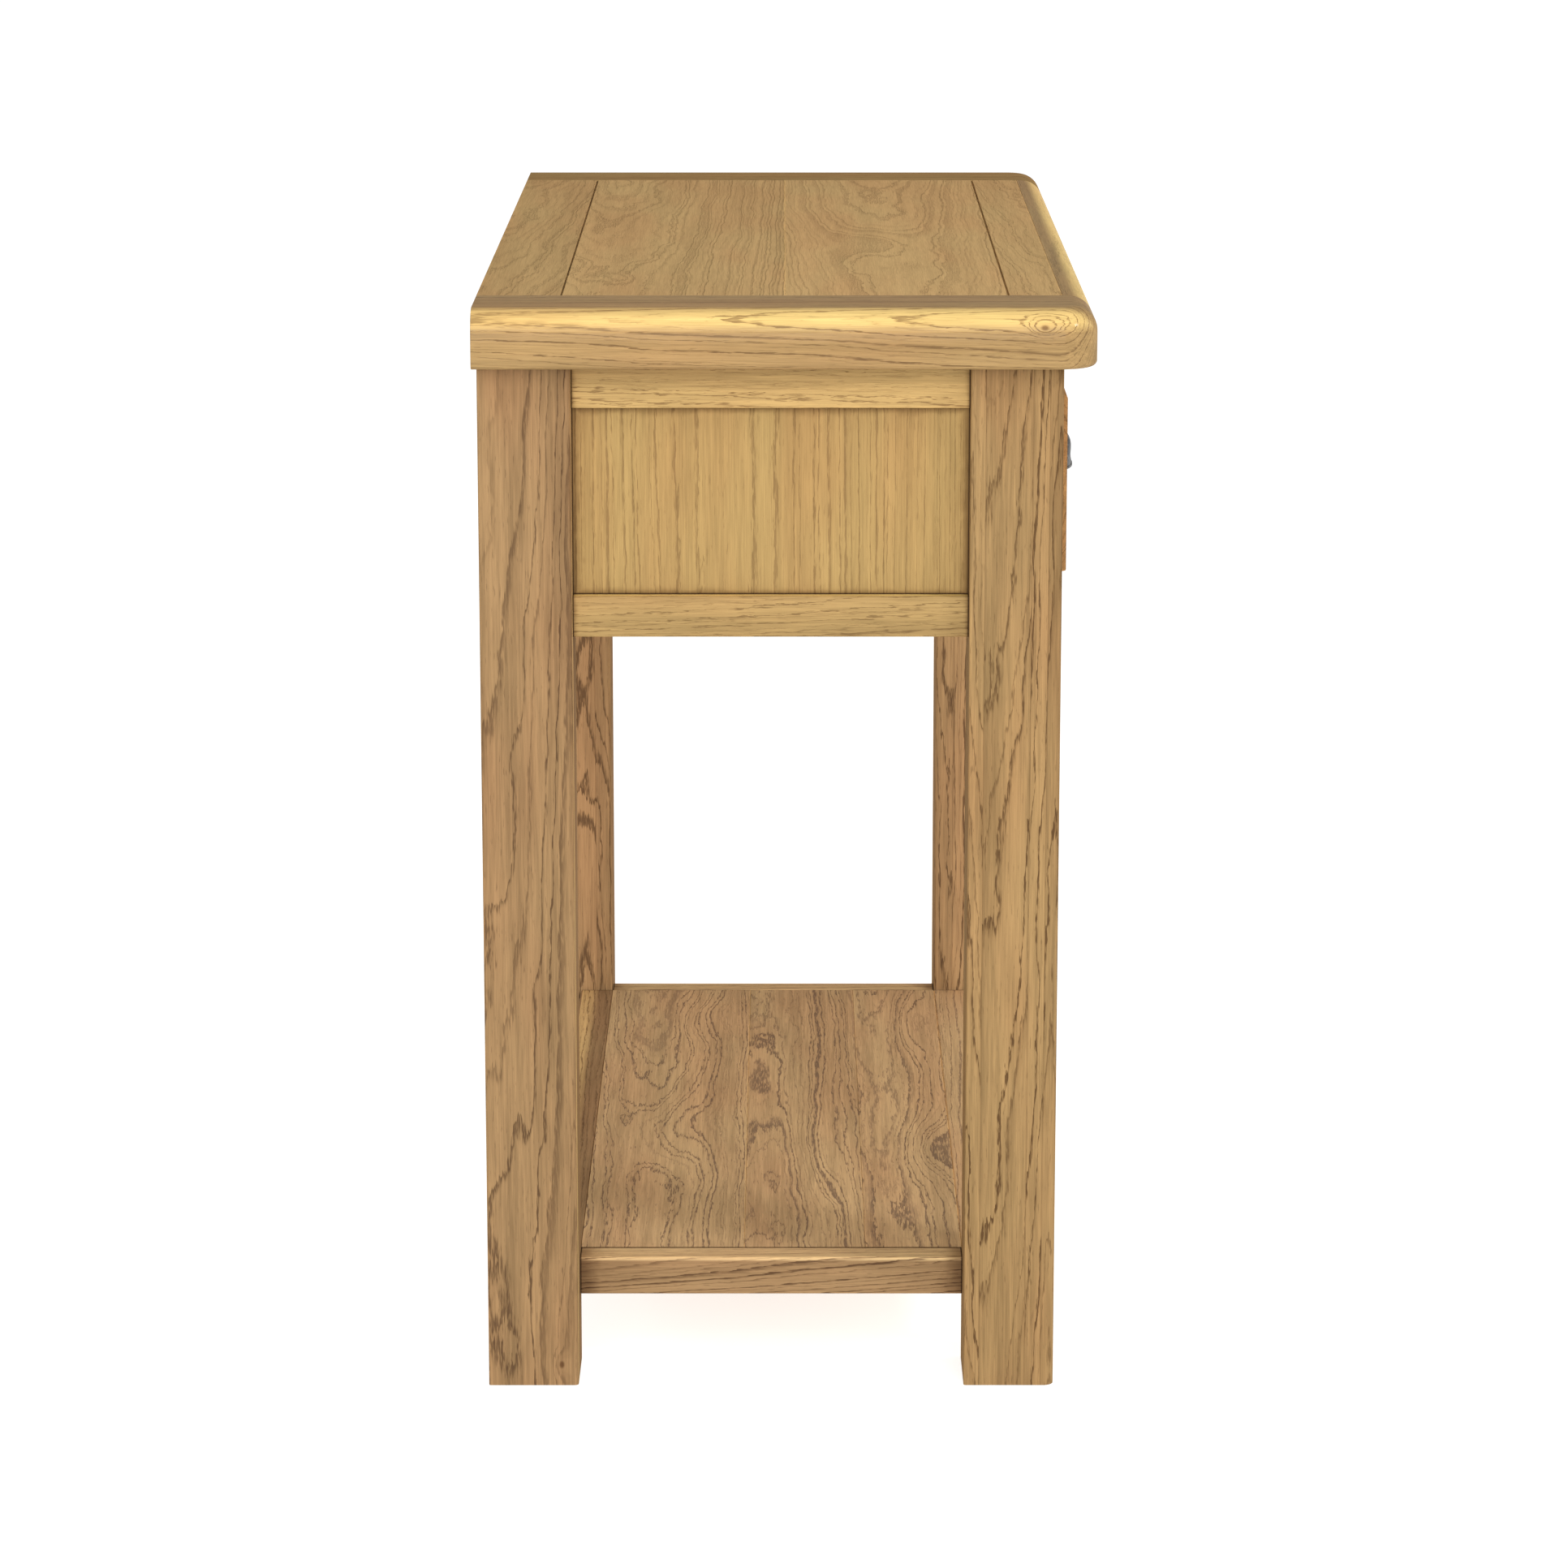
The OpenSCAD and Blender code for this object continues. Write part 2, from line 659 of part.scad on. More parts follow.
module drawer_back() {
    y0 = drawer_end_y - drawer_side_t;
    inner_w = drawer_w / 2 - drawer_side_t - joint_gap;
    box([-inner_w, y0, drawer_back_z], [inner_w, drawer_end_y, side_z1]);
    for (x = [-drawer_w / 2, inner_w - eps])
        pins(x, x + drawer_side_t + joint_gap + eps, drawer_end_y, y0, drawer_back_z, side_z1, 0);
}

module drawer_bottom(g = 0) {
    inner_w = drawer_w / 2 - drawer_side_t;
    z0 = drawer_z + drawer_bottom_up;
    box([-inner_w - bottom_in - g, drawer_front_in_y - bottom_in - g, z0 - g],
        [inner_w + bottom_in + g, drawer_end_y + (g > 0 ? 1 : 0), z0 + drawer_bottom_t + g]);
}

// ---------- cup pulls ----------

pull_rings = 16;
pull_steps = 24;

// Half-width of the cup at a share of its height above the lip.
function pull_half_w(share) = pull_w / 2 * sqrt(1 - pow(min(share, 0.999), 2.2));

// Projection of the cup at a share of its height: lip, waist, belly, then the curve back.
function pull_belly(share) = share < 0.52
    ? pull_out * (0.86 + 0.14 * sin(share / 0.52 * 90))
    : pull_out * sqrt(1 - pow((min(share, 0.999) - 0.52) / 0.48, 2));
function pull_flare(share) = share < 0.31
    ? (pull_lip + 0.14 * pull_out) * pow(1 - share / 0.31, 1.5)
    : 0;
function pull_depth(share) = pull_belly(share) + pull_flare(share);

function pull_ring(share, inset) = [for (j = [0:pull_steps])
    let (turn = 180 * j / pull_steps)
    [-max(pull_half_w(share) - inset, 0.2) * cos(turn),
     -max(pull_depth(share) - inset, 0.1) * sin(turn),
     share * (pull_h - (inset > 0 ? inset : 0))]];

// Shell of a cup pull with its back plane at y = 0 and its lip at z = 0.
module pull_shell() {
    n = pull_steps + 1;
    shares = [for (i = [0:pull_rings]) 1 - pow(1 - i / pull_rings, 1.25)];
    outer = [for (share = shares) each pull_ring(share, 0)];
    inner = [for (share = shares) each pull_ring(share, pull_wall)];
    rings = len(shares);
    first_in = rings * n;
    walls = [for (i = [0:rings - 2], j = [0:pull_steps - 1])
        each let (a = i * n + j, b = a + 1, c = b + n, d = a + n)
            [[a, d, b], [b, d, c],
             [first_in + a, first_in + b, first_in + d], [first_in + b, first_in + c, first_in + d]]];
    lip = [for (j = [0:pull_steps - 1]) each
        [[j, j + 1, first_in + j], [j + 1, first_in + j + 1, first_in + j]]];
    last = (rings - 1) * n;
    crown = [for (j = [0:pull_steps - 1]) each
        [[last + j, first_in + last + j, last + j + 1],
         [last + j + 1, first_in + last + j, first_in + last + j + 1]]];
    sides = [for (i = [0:rings - 2]) each let (a = i * n, d = a + n, e = a + pull_steps, f = e + n)
        [[a, first_in + a, d], [d, first_in + a, first_in + d],
         [e, f, first_in + e], [f, first_in + f, first_in + e]]];
    polyhedron(points = concat(outer, inner), faces = concat(walls, lip, crown, sides), convexity = 6);
}

module at_pull_screws() {
    for (x = [-1, 1]) translate([x * pull_screws_apart / 2, drawer_y, pull_z + pull_h * 0.5]) children();
}

boss_r = 3.4;
boss_share = (pull_screws_apart / 2 + boss_r) / pull_half_w(0.5);
boss_l = pull_depth(0.5) * sqrt(1 - pow(boss_share, 2)) - 0.3;

// Cup with a tapped boss for each screw.
module cup_pull() {
    difference() {
        union() {
            translate([0, drawer_y, pull_z]) pull_shell();
            at_pull_screws() rotate([90, 0, 0]) cylinder(r = boss_r, h = boss_l);
        }
        at_pull_screws() rotate([90, 0, 0]) translate([0, 0, -1])
            cylinder(r = pull_screw_r + screw_gap / 2, h = boss_l);
    }
}

module pull_screws() {
    for (x = [-1, 1]) translate([x * pull_screws_apart / 2, drawer_front_in_y, pull_z + pull_h * 0.5])
        rotate([90, 0, 0]) pan_screw(pull_screw_r, drawer_front_t + boss_l - 2);
}

// ---------- nodes ----------

groove_y = top_d / 2 - edge_board_w;
nosing_y = -top_d / 2 + nosing_w;

color(oak) mirror([1, 0, 0]) breadboard();  // top_breadboard_left
color(oak) breadboard();  // top_breadboard_right
color(oak)  // top_board_back
    top_board(groove_y, top_d / 2, front_groove = groove_w / 2, end_stop = nosing_w + joint_gap);
color(oak)  // top_board_middle_back
    top_board(0, groove_y, back_groove = groove_w / 2);
color(oak)  // top_board_middle_front
    top_board(-groove_y, 0, front_groove = groove_w / 2);
color(oak)  // top_board_front
    top_board(nosing_y, -groove_y, back_groove = groove_w / 2);
color(oak) top_front_nosing();
color(oak) leg_front();  // leg_front_left
color(oak) mirror([1, 0, 0]) leg_front();  // leg_front_right
color(oak) leg_back();  // leg_back_left
color(oak) mirror([1, 0, 0]) leg_back();  // leg_back_right
color(oak) end_upper_rail();  // end_upper_rail_left
color(oak) mirror([1, 0, 0]) end_upper_rail();  // end_upper_rail_right
color(oak) end_lower_rail();  // end_lower_rail_left
color(oak) mirror([1, 0, 0]) end_lower_rail();  // end_lower_rail_right
color(oak_light) end_panel();  // end_panel_left
color(oak_light) mirror([1, 0, 0]) end_panel();  // end_panel_right
color(oak) front_upper_rail();
color(oak) front_lower_rail();
color(oak) drawer_divider();
color(oak) back_upper_rail();
color(oak) back_lower_rail();
color(oak_light) back_panel();
color(oak_light) mirror([1, 0, 0]) runner_end();  // runner_left
color(oak_light) runner_centre();
color(oak_light) runner_end();  // runner_right
color(oak_light) kicker(-kicker_x, runner_w);  // kicker_left
color(oak_light) kicker(0, divider_w + 2 * runner_w);  // kicker_centre
color(oak_light) kicker(kicker_x, runner_w);  // kicker_right
color(oak_light) drawer_stops();
color(steel) top_screws();
color(steel) runner_screws();
color(oak) shelf_end_rail();  // shelf_end_rail_left
color(oak) mirror([1, 0, 0]) shelf_end_rail();  // shelf_end_rail_right
color(oak) shelf_long_rail(shelf_y0 - shelf_long_rail_t);  // shelf_front_rail
color(oak) shelf_long_rail(shelf_y1);  // shelf_back_rail
color(oak)  // shelf_board_back
    shelf_board(shelf_y1 - shelf_back_board_w, shelf_y1);
color(oak)  // shelf_board_centre
    shelf_board(shelf_y0 + shelf_front_board_w, shelf_y1 - shelf_back_board_w);
color(oak)  // shelf_board_front
    shelf_board(shelf_y0, shelf_y0 + shelf_front_board_w);
color(oak_light) shelf_cleats();
color(steel) shelf_screws();
color(oak) in_opening(-1) drawer_front();  // left_drawer_front
color(oak_light)  // left_drawer_side_left
    in_opening(-1) drawer_side(-drawer_w / 2);
color(oak_light)  // left_drawer_side_right
    in_opening(-1) drawer_side(drawer_w / 2 - drawer_side_t);
color(oak_light) in_opening(-1) drawer_back();  // left_drawer_back
color(oak_light) in_opening(-1) drawer_bottom();  // left_drawer_bottom
color(iron) in_opening(-1) cup_pull();  // left_cup_pull
color(steel) in_opening(-1) pull_screws();  // left_pull_screws
color(oak) in_opening(1) drawer_front();  // right_drawer_front
color(oak_light)  // right_drawer_side_left
    in_opening(1) drawer_side(-drawer_w / 2);
color(oak_light)  // right_drawer_side_right
    in_opening(1) drawer_side(drawer_w / 2 - drawer_side_t);
color(oak_light) in_opening(1) drawer_back();  // right_drawer_back
color(oak_light) in_opening(1) drawer_bottom();  // right_drawer_bottom
color(iron) in_opening(1) cup_pull();  // right_cup_pull
color(steel) in_opening(1) pull_screws();  // right_pull_screws
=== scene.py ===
import json
import math
import bpy
import bmesh
from mathutils import Matrix, Vector


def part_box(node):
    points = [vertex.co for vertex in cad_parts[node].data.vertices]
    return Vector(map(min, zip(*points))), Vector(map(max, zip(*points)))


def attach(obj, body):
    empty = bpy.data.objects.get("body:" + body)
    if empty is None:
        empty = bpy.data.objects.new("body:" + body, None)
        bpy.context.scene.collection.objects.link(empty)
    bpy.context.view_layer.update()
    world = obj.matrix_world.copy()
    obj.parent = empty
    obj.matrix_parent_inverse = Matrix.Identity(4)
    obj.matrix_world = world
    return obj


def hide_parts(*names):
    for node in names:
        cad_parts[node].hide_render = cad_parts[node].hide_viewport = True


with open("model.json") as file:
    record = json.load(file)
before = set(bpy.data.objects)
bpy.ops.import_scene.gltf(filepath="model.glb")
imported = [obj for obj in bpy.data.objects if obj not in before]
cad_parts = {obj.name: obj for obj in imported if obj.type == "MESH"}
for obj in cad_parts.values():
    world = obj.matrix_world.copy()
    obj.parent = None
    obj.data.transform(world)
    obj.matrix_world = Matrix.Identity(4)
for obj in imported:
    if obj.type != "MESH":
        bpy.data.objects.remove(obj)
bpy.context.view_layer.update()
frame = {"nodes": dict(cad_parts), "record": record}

bodyOf = {node: body for body, nodes in frame["record"]["behaviour"]["bodies"].items() for node in nodes}


def linear(red, green, blue):
    # screen colour, 0 to 255, as the linear colour that a socket takes
    return tuple(c / 3294.6 if c < 10.3 else ((c / 255 + 0.055) / 1.055) ** 2.4 for c in (red, green, blue)) + (1.0,)


camera = {"place": (-3.8868, 0.0006, 1.2046), "pitch": 12.631, "lens": 121.28}

studio = {
    "skyStrength": 0.55,
    "floorTone": (0.6, 0.6, 0.6),
    "floorGlow": 0.72,
    "lamps": [
        # name, place, aimed at, width, height, power, colour
        ("broadSoftbox", (-3.9, 0.2, 2.7), (0, 0, 0.5), 3.4, 1.2, 56, (1.0, 0.98, 0.95)),
        ("faceSoftbox", (-4.8, 0.0, 1.95), (0, 0, 0.5), 3.0, 0.8, 52, (1.0, 0.98, 0.95)),
        ("lowSoftbox", (-4.7, 0.0, 0.72), (0, 0, 0.4), 3.2, 0.8, 44, (1.0, 0.98, 0.95)),
        ("cornerLamp", (-2.6, -3.9, 3.4), (-0.4, -0.2, 0.7), 0.8, 0.8, 100, (1.0, 0.99, 0.97)),
        ("frontSoftbox", (0.8, -4.6, 2.2), (0, 0, 0.4), 2.6, 2.0, 40, (1.0, 0.98, 0.96)),
        ("backSoftbox", (0.4, 4.6, 2.6), (0, 0, 0.4), 2.6, 2.0, 40, (1.0, 0.99, 0.97)),
    ],
}


def setCamera():
    data = bpy.data.cameras.new("studioCamera")
    data.sensor_width = 36
    data.lens = camera["lens"]
    data.clip_end = 80
    seer = bpy.data.objects.new("studioCamera", data)
    seer.location = camera["place"]
    seer.rotation_euler = (math.radians(90 - camera["pitch"]), 0, math.radians(-90))
    bpy.context.collection.objects.link(seer)
    bpy.context.scene.camera = seer


def setStudio():
    world = bpy.data.worlds.new("studioSky")
    world.use_nodes = True
    sky = world.node_tree.nodes["Background"]
    sky.inputs["Color"].default_value = (1, 1, 1, 1)
    sky.inputs["Strength"].default_value = studio["skyStrength"]
    bpy.context.scene.world = world
    bpy.context.scene.view_settings.view_transform = "Standard"
    for name, place, aim, width, height, power, colour in studio["lamps"]:
        data = bpy.data.lights.new(name, "AREA")
        data.shape = "RECTANGLE"
        data.size = width
        data.size_y = height
        data.energy = power
        data.color = colour
        lamp = bpy.data.objects.new(name, data)
        lamp.location = place
        lamp.rotation_euler = (Vector(aim) - Vector(place)).to_track_quat("-Z", "Y").to_euler()
        bpy.context.collection.objects.link(lamp)
    mesh = bpy.data.meshes.new("paleFloor")
    half = 30.0
    mesh.from_pydata([(-half, -half, 0), (half, -half, 0), (half, half, 0), (-half, half, 0)], [], [(0, 1, 2, 3)])
    floor = bpy.data.objects.new("paleFloor", mesh)
    bpy.context.collection.objects.link(floor)
    paint = bpy.data.materials.new("paleFloor")
    paint.use_nodes = True
    shader = paint.node_tree.nodes["Principled BSDF"]
    shader.inputs["Base Color"].default_value = studio["floorTone"] + (1.0,)
    shader.inputs["Roughness"].default_value = 0.9
    shader.inputs["Specular IOR Level"].default_value = 0.1
    shader.inputs["Emission Color"].default_value = (1, 1, 1, 1)
    shader.inputs["Emission Strength"].default_value = studio["floorGlow"]
    mesh.materials.append(paint)


setCamera()
setStudio()
print("studio is set")


# Small helpers for node trees: put adds a node, calc and calcVector add one sum, fade a smooth step.
def put(tree, kind, links=None, **settings):
    node = tree.nodes.new(kind)
    for key, value in settings.items():
        setattr(node, key, value)
    for key, value in (links or {}).items():
        if isinstance(value, bpy.types.NodeSocket):
            tree.links.new(value, node.inputs[key])
        else:
            node.inputs[key].default_value = value
    return node


def calc(tree, operation, *values):
    return put(tree, "ShaderNodeMath", dict(enumerate(values)), operation=operation).outputs[0]


def calcVector(tree, operation, *values):
    return put(tree, "ShaderNodeVectorMath", dict(enumerate(values)), operation=operation).outputs[0]


def scaled(tree, vector, factor):
    return put(tree, "ShaderNodeVectorMath", {0: vector, "Scale": factor}, operation="SCALE").outputs[0]


def split(tree, vector):
    return put(tree, "ShaderNodeSeparateXYZ", {0: vector}).outputs


def fade(tree, value, low, high, start=0.0, end=1.0):
    links = {"Value": value, "From Min": low, "From Max": high, "To Min": start, "To Max": end}
    return put(tree, "ShaderNodeMapRange", links, interpolation_type="SMOOTHSTEP").outputs[0]


def blendColour(tree, share, first, second):
    return put(tree, "ShaderNodeMix", {0: share, 6: first, 7: second}, data_type="RGBA").outputs[2]


def cloud(tree, vector, scale, detail=2.0, rough=0.5):
    stretched = calcVector(tree, "MULTIPLY", vector, scale)
    return put(tree, "ShaderNodeTexNoise", {"Vector": stretched, "Scale": 1.0, "Detail": detail, "Roughness": rough})


def newGroup(name, inputs, outputs):
    group = bpy.data.node_groups.new(name, "ShaderNodeTree")
    for label, kind, value in inputs:
        socket = group.interface.new_socket(name=label, in_out="INPUT", socket_type="NodeSocket" + kind)
        socket.default_value = value
    for label, kind in outputs:
        group.interface.new_socket(name=label, in_out="OUTPUT", socket_type="NodeSocket" + kind)
    return group, group.nodes.new("NodeGroupInput").outputs, group.nodes.new("NodeGroupOutput").inputs


def send(group, outlet, results):
    for label, value in results.items():
        group.links.new(value, outlet[label])


# Board coordinates: X along the grain, Y across the board, Z out of its best face.
# Growth rings are cylinders round a pith line, bent by slow noise, so each cut shows its own figure.
# An eye lifts the rings under one spot, which gives a closed loop on a flat-sawn face.
figureInputs = [
    ("Vector", "Vector", (0, 0, 0)), ("Pith", "Vector", (0, 0, -0.06)), ("Lean", "Float", 0.05),
    ("Swing", "Float", 0.0), ("Ring Gap", "Float", 0.0035), ("Line Width", "Float", 0.35), ("Warp", "Float", 0.006),
    ("Jag", "Float", 0.0012), ("Eye A", "Vector", (9, 9, 0)), ("Eye A Size", "Vector", (0.08, 0.03, 1)),
    ("Eye B", "Vector", (9, 9, 0)), ("Eye B Size", "Vector", (0.08, 0.03, 1)), ("Knot", "Vector", (9, 9, 0)),
    ("Knot Size", "Float", 0.02), ("Seed", "Float", 0.0)]


def makeFigure():
    group, given, outlet = newGroup("oakFigure", figureInputs,
        [("Early", "Float"), ("Pores", "Float"), ("Fibre", "Float"), ("Streak", "Float"), ("Knot Mask", "Float")])

    def lump(spot, size):
        away = calcVector(group, "DIVIDE", calcVector(group, "SUBTRACT", given["Vector"], spot), size)
        flat = calcVector(group, "MULTIPLY", away, (1, 1, 0))
        reach = put(group, "ShaderNodeVectorMath", {0: flat}, operation="LENGTH").outputs["Value"]
        return reach, calc(group, "EXPONENT", calc(group, "MULTIPLY", calc(group, "MULTIPLY", reach, reach), -1.0))

    seeds = put(group, "ShaderNodeCombineXYZ", {0: given["Seed"], 1: given["Seed"], 2: given["Seed"]}).outputs[0]
    shift = calcVector(group, "MULTIPLY", seeds, (13.7, 7.3, 3.9))
    place = calcVector(group, "ADD", given["Vector"], shift)
    slow = calcVector(group, "SUBTRACT", cloud(group, place, (4.5, 17, 17), 2.0).outputs["Color"], (0.5, 0.5, 0.5))
    wavy = calcVector(group, "SUBTRACT", cloud(group, place, (28, 75, 75), 1.5).outputs["Color"], (0.5, 0.5, 0.5))
    bend = scaled(group, slow, calc(group, "MULTIPLY", given["Warp"], 3.0))
    wave = scaled(group, wavy, calc(group, "MULTIPLY", given["Warp"], 0.55))
    bent = calcVector(group, "ADD", given["Vector"], calcVector(group, "ADD", bend, wave))
    along, across, deep = split(group, given["Vector"])
    _, bentY, bentZ = split(group, bent)
    _, pithY, pithZ = split(group, given["Pith"])
    y = calc(group, "SUBTRACT", calc(group, "SUBTRACT", bentY, pithY), calc(group, "MULTIPLY", given["Swing"], along))
    z = calc(group, "SUBTRACT", calc(group, "SUBTRACT", bentZ, pithZ), calc(group, "MULTIPLY", given["Lean"], along))
    radius = calc(group, "SQRT", calc(group, "ADD", calc(group, "MULTIPLY", y, y), calc(group, "MULTIPLY", z, z)))
    for label in ("Eye A", "Eye B"):
        _, swell = lump(given[label], given[label + " Size"])
        radius = calc(group, "ADD", radius, calc(group, "MULTIPLY", swell, split(group, given[label])[2]))
    knotSize = put(group, "ShaderNodeCombineXYZ", {0: calc(group, "MULTIPLY", given["Knot Size"], 1.5),
        1: given["Knot Size"], 2: 1.0}).outputs[0]
    knotReach, swell = lump(given["Knot"], knotSize)
    radius = calc(group, "ADD", radius, calc(group, "MULTIPLY", swell,
        calc(group, "MULTIPLY", given["Knot Size"], 0.8)))
    # each vessel picks its own ring edge, so a ring line is a chain of short strokes
    vessel = calc(group, "SUBTRACT", cloud(group, place, (60, 640, 640), 2.0, 0.65).outputs[0], 0.5)
    radius = calc(group, "ADD", radius, calc(group, "MULTIPLY", vessel, calc(group, "MULTIPLY", given["Jag"], 4.0)))
    count = calc(group, "DIVIDE", radius, given["Ring Gap"])
    uneven = put(group, "ShaderNodeTexNoise", {"W": calc(group, "ADD", calc(group, "MULTIPLY", count, 0.55),
        given["Seed"]),
        "Scale": 1.0, "Detail": 1.0}, noise_dimensions="1D").outputs[0]
    count = calc(group, "ADD", count, calc(group, "MULTIPLY", uneven, 1.6))
    ring = calc(group, "FRACT", count)
    early = calc(group, "MAXIMUM", fade(group, ring, 0.0, given["Line Width"], 1.0, 0.0),
        fade(group, ring, 0.92, 1.0))
    strength = put(group, "ShaderNodeTexWhiteNoise", {"W": calc(group, "FLOOR", calc(group, "ADD", count, 0.08))},
        noise_dimensions="1D").outputs[0]
    early = calc(group, "MULTIPLY", early, fade(group, strength, 0.0, 0.9, 0.3, 1.0))
    dots = cloud(group, place, (88, 900, 900), 1.6, 0.6).outputs[0]
    dense = calc(group, "MULTIPLY", fade(group, dots, 0.36, 0.52), fade(group, early, 0.12, 0.65))
    sparse = calc(group, "MULTIPLY", fade(group, dots, 0.63, 0.74), 0.5)
    fibre = cloud(group, place, (36, 1700, 1700), 1.0).outputs[0]
    broad = cloud(group, place, (2.6, 62, 62), 3.0, 0.6).outputs[0]
    narrow = cloud(group, place, (14, 420, 420), 3.0, 0.7).outputs[0]
    streak = calc(group, "ADD", calc(group, "MULTIPLY", broad, 0.5), calc(group, "MULTIPLY", narrow, 0.5))
    send(group, outlet, {"Early": early, "Pores": calc(group, "MAXIMUM", dense, sparse), "Fibre": fibre,
        "Streak": streak, "Knot Mask": fade(group, knotReach, 0.12, 0.42, 1.0, 0.0)})
    return group


# Up to four staves glued edge to edge: each takes its own place in the log.
seamLabels = ("Seam A", "Seam B", "Seam C")


def makeStaves():
    group, given, outlet = newGroup("gluedStaves",
        [("Vector", "Vector", (0, 0, 0))] + [(label, "Float", 9.0) for label in seamLabels] + [("Seed", "Float",
            0.0)],
        [("Vector", "Vector"), ("Seam", "Float"), ("Tone", "Float")])
    across = split(group, given["Vector"])[1]
    number, gap = 0.0, 9.0
    for label in seamLabels:
        number = calc(group, "ADD", calc(group, "GREATER_THAN", across, given[label]), number)
        gap = calc(group, "MINIMUM", calc(group, "ABSOLUTE", calc(group, "SUBTRACT", across, given[label])), gap)
    pick = put(group, "ShaderNodeTexWhiteNoise", {"W": calc(group, "ADD", number, given["Seed"])},
        noise_dimensions="1D")
    reach = scaled(group, (1.6, 0.11, 0.05), calc(group, "MINIMUM", number, 1.0))
    move = calcVector(group, "MULTIPLY", calcVector(group, "SUBTRACT", pick.outputs["Color"], (0.5, 0.5, 0.5)), reach)
    send(group, outlet, {"Vector": calcVector(group, "ADD", given["Vector"], move),
        "Seam": fade(group, gap, 0.0001, 0.0006, 1.0, 0.0), "Tone": pick.outputs["Value"]})
    return group


# Darkening towards a board's chosen ends and sides (on the legs' top ends it is painted shade under the top), with a
# thin dark joint line, the rubbed arrises, and a painted highlight band.
darkeningLabels = ("Start Darkening", "End Darkening", "Low Darkening", "High Darkening")


def makeEdges():
    group, given, outlet = newGroup("boardEdges",
        [("Vector", "Vector", (0, 0, 0)), ("Half", "Vector", (1, 1, 1))] +
        [(label, "Float", 0.0) for label in darkeningLabels] + [("Rub", "Float", 0.0012), ("Painted Light Width", "Float", 0.0),
            ("Painted Light Depth", "Float", 0.0165)],
        [("Darkening", "Float"), ("Joint", "Float"), ("Rubbed", "Float"), ("Painted Light", "Float")])
    x, y, z = split(group, given["Vector"])
    halfX, halfY, halfZ = split(group, given["Half"])
    distances = (calc(group, "ADD", x, halfX), calc(group, "SUBTRACT", halfX, x),
        calc(group, "ADD", y, halfY), calc(group, "SUBTRACT", halfY, y))
    wobble = cloud(group, given["Vector"], (90, 90, 90), 2.0).outputs[0]
    darkening, joint = 0.0, 0.0
    for label, distance in zip(darkeningLabels, distances):
        wanted = calc(group, "GREATER_THAN", given[label], 0.00005)
        reach = calc(group, "MAXIMUM", calc(group, "MULTIPLY", given[label],
            fade(group, wobble, 0.3, 0.7, 0.75, 1.3)), 0.00001)
        near = calc(group, "MULTIPLY", fade(group, calc(group, "DIVIDE", distance, reach), 0.0, 1.0, 1.0, 0.0),
            wanted)
        darkening = calc(group, "MAXIMUM", near, darkening)
        joint = calc(group, "MAXIMUM", calc(group, "MULTIPLY", fade(group, distance, 0.0004, 0.0013, 1.0, 0.0),
            wanted), joint)
    side = calc(group, "MINIMUM", distances[2], distances[3])
    face = calc(group, "SUBTRACT", halfZ, calc(group, "ABSOLUTE", z))
    arris = calc(group, "MULTIPLY", calc(group, "MAXIMUM", side, face), fade(group, wobble, 0.3, 0.7, 0.6, 1.8))
    rubbed = fade(group, calc(group, "DIVIDE", arris, given["Rub"]), 0.3, 1.2, 1.0, 0.0)
    # painted highlight on a moulded low side: lightens the roundover as the sheen of the lamps would, and on the
    # shelf end rails a painted lit band along the top face
    crown = calc(group, "MAXIMUM", calc(group, "DIVIDE", distances[2],
        calc(group, "MAXIMUM", given["Painted Light Width"], 0.0001)),
        calc(group, "DIVIDE", calc(group, "SUBTRACT", halfZ, z), given["Painted Light Depth"]))
    send(group, outlet, {"Darkening": calc(group, "POWER", darkening, 1.3), "Joint": joint, "Rubbed": rubbed,
        "Painted Light": fade(group, crown, 0.4, 1.0, 1.0, 0.0)})
    return group


boardInputs = figureInputs + [
    ("Half", "Vector", (1, 1, 1))] + [(label, "Float", 9.0) for label in seamLabels] + [
    (label, "Float", 0.0) for label in darkeningLabels] + [("Rub", "Float", 0.0012), ("Painted Light Width", "Float", 0.0),
        ("Painted Light Depth", "Float", 0.0165), ("Painted Light Tint", "Vector", (1.3, 1.34, 1.16)),
    ("Drift", "Float", 1.0), ("Light", "Color", (1, 1, 1, 1)), ("Early Tint", "Color", (0.5, 0.5, 0.5, 1)),
    ("Pore Tint", "Color", (0.2, 0.2, 0.2, 1)), ("Figure", "Float", 0.6), ("Pore Depth", "Float", 0.7),
    ("Gloss", "Float", 0.4), ("Ring Relief", "Float", 0.3)]


# how darkening (painted shade on the legs' top ends), wear and slow changes of tone shift the wood's colour
oakTint = {"warm": (0.97, 0.86, 0.86), "rubbed": (1.4, 1.34, 1.2), "darkened": (0.3, 0.21, 0.18),
    "joint": linear(42, 28, 20)}


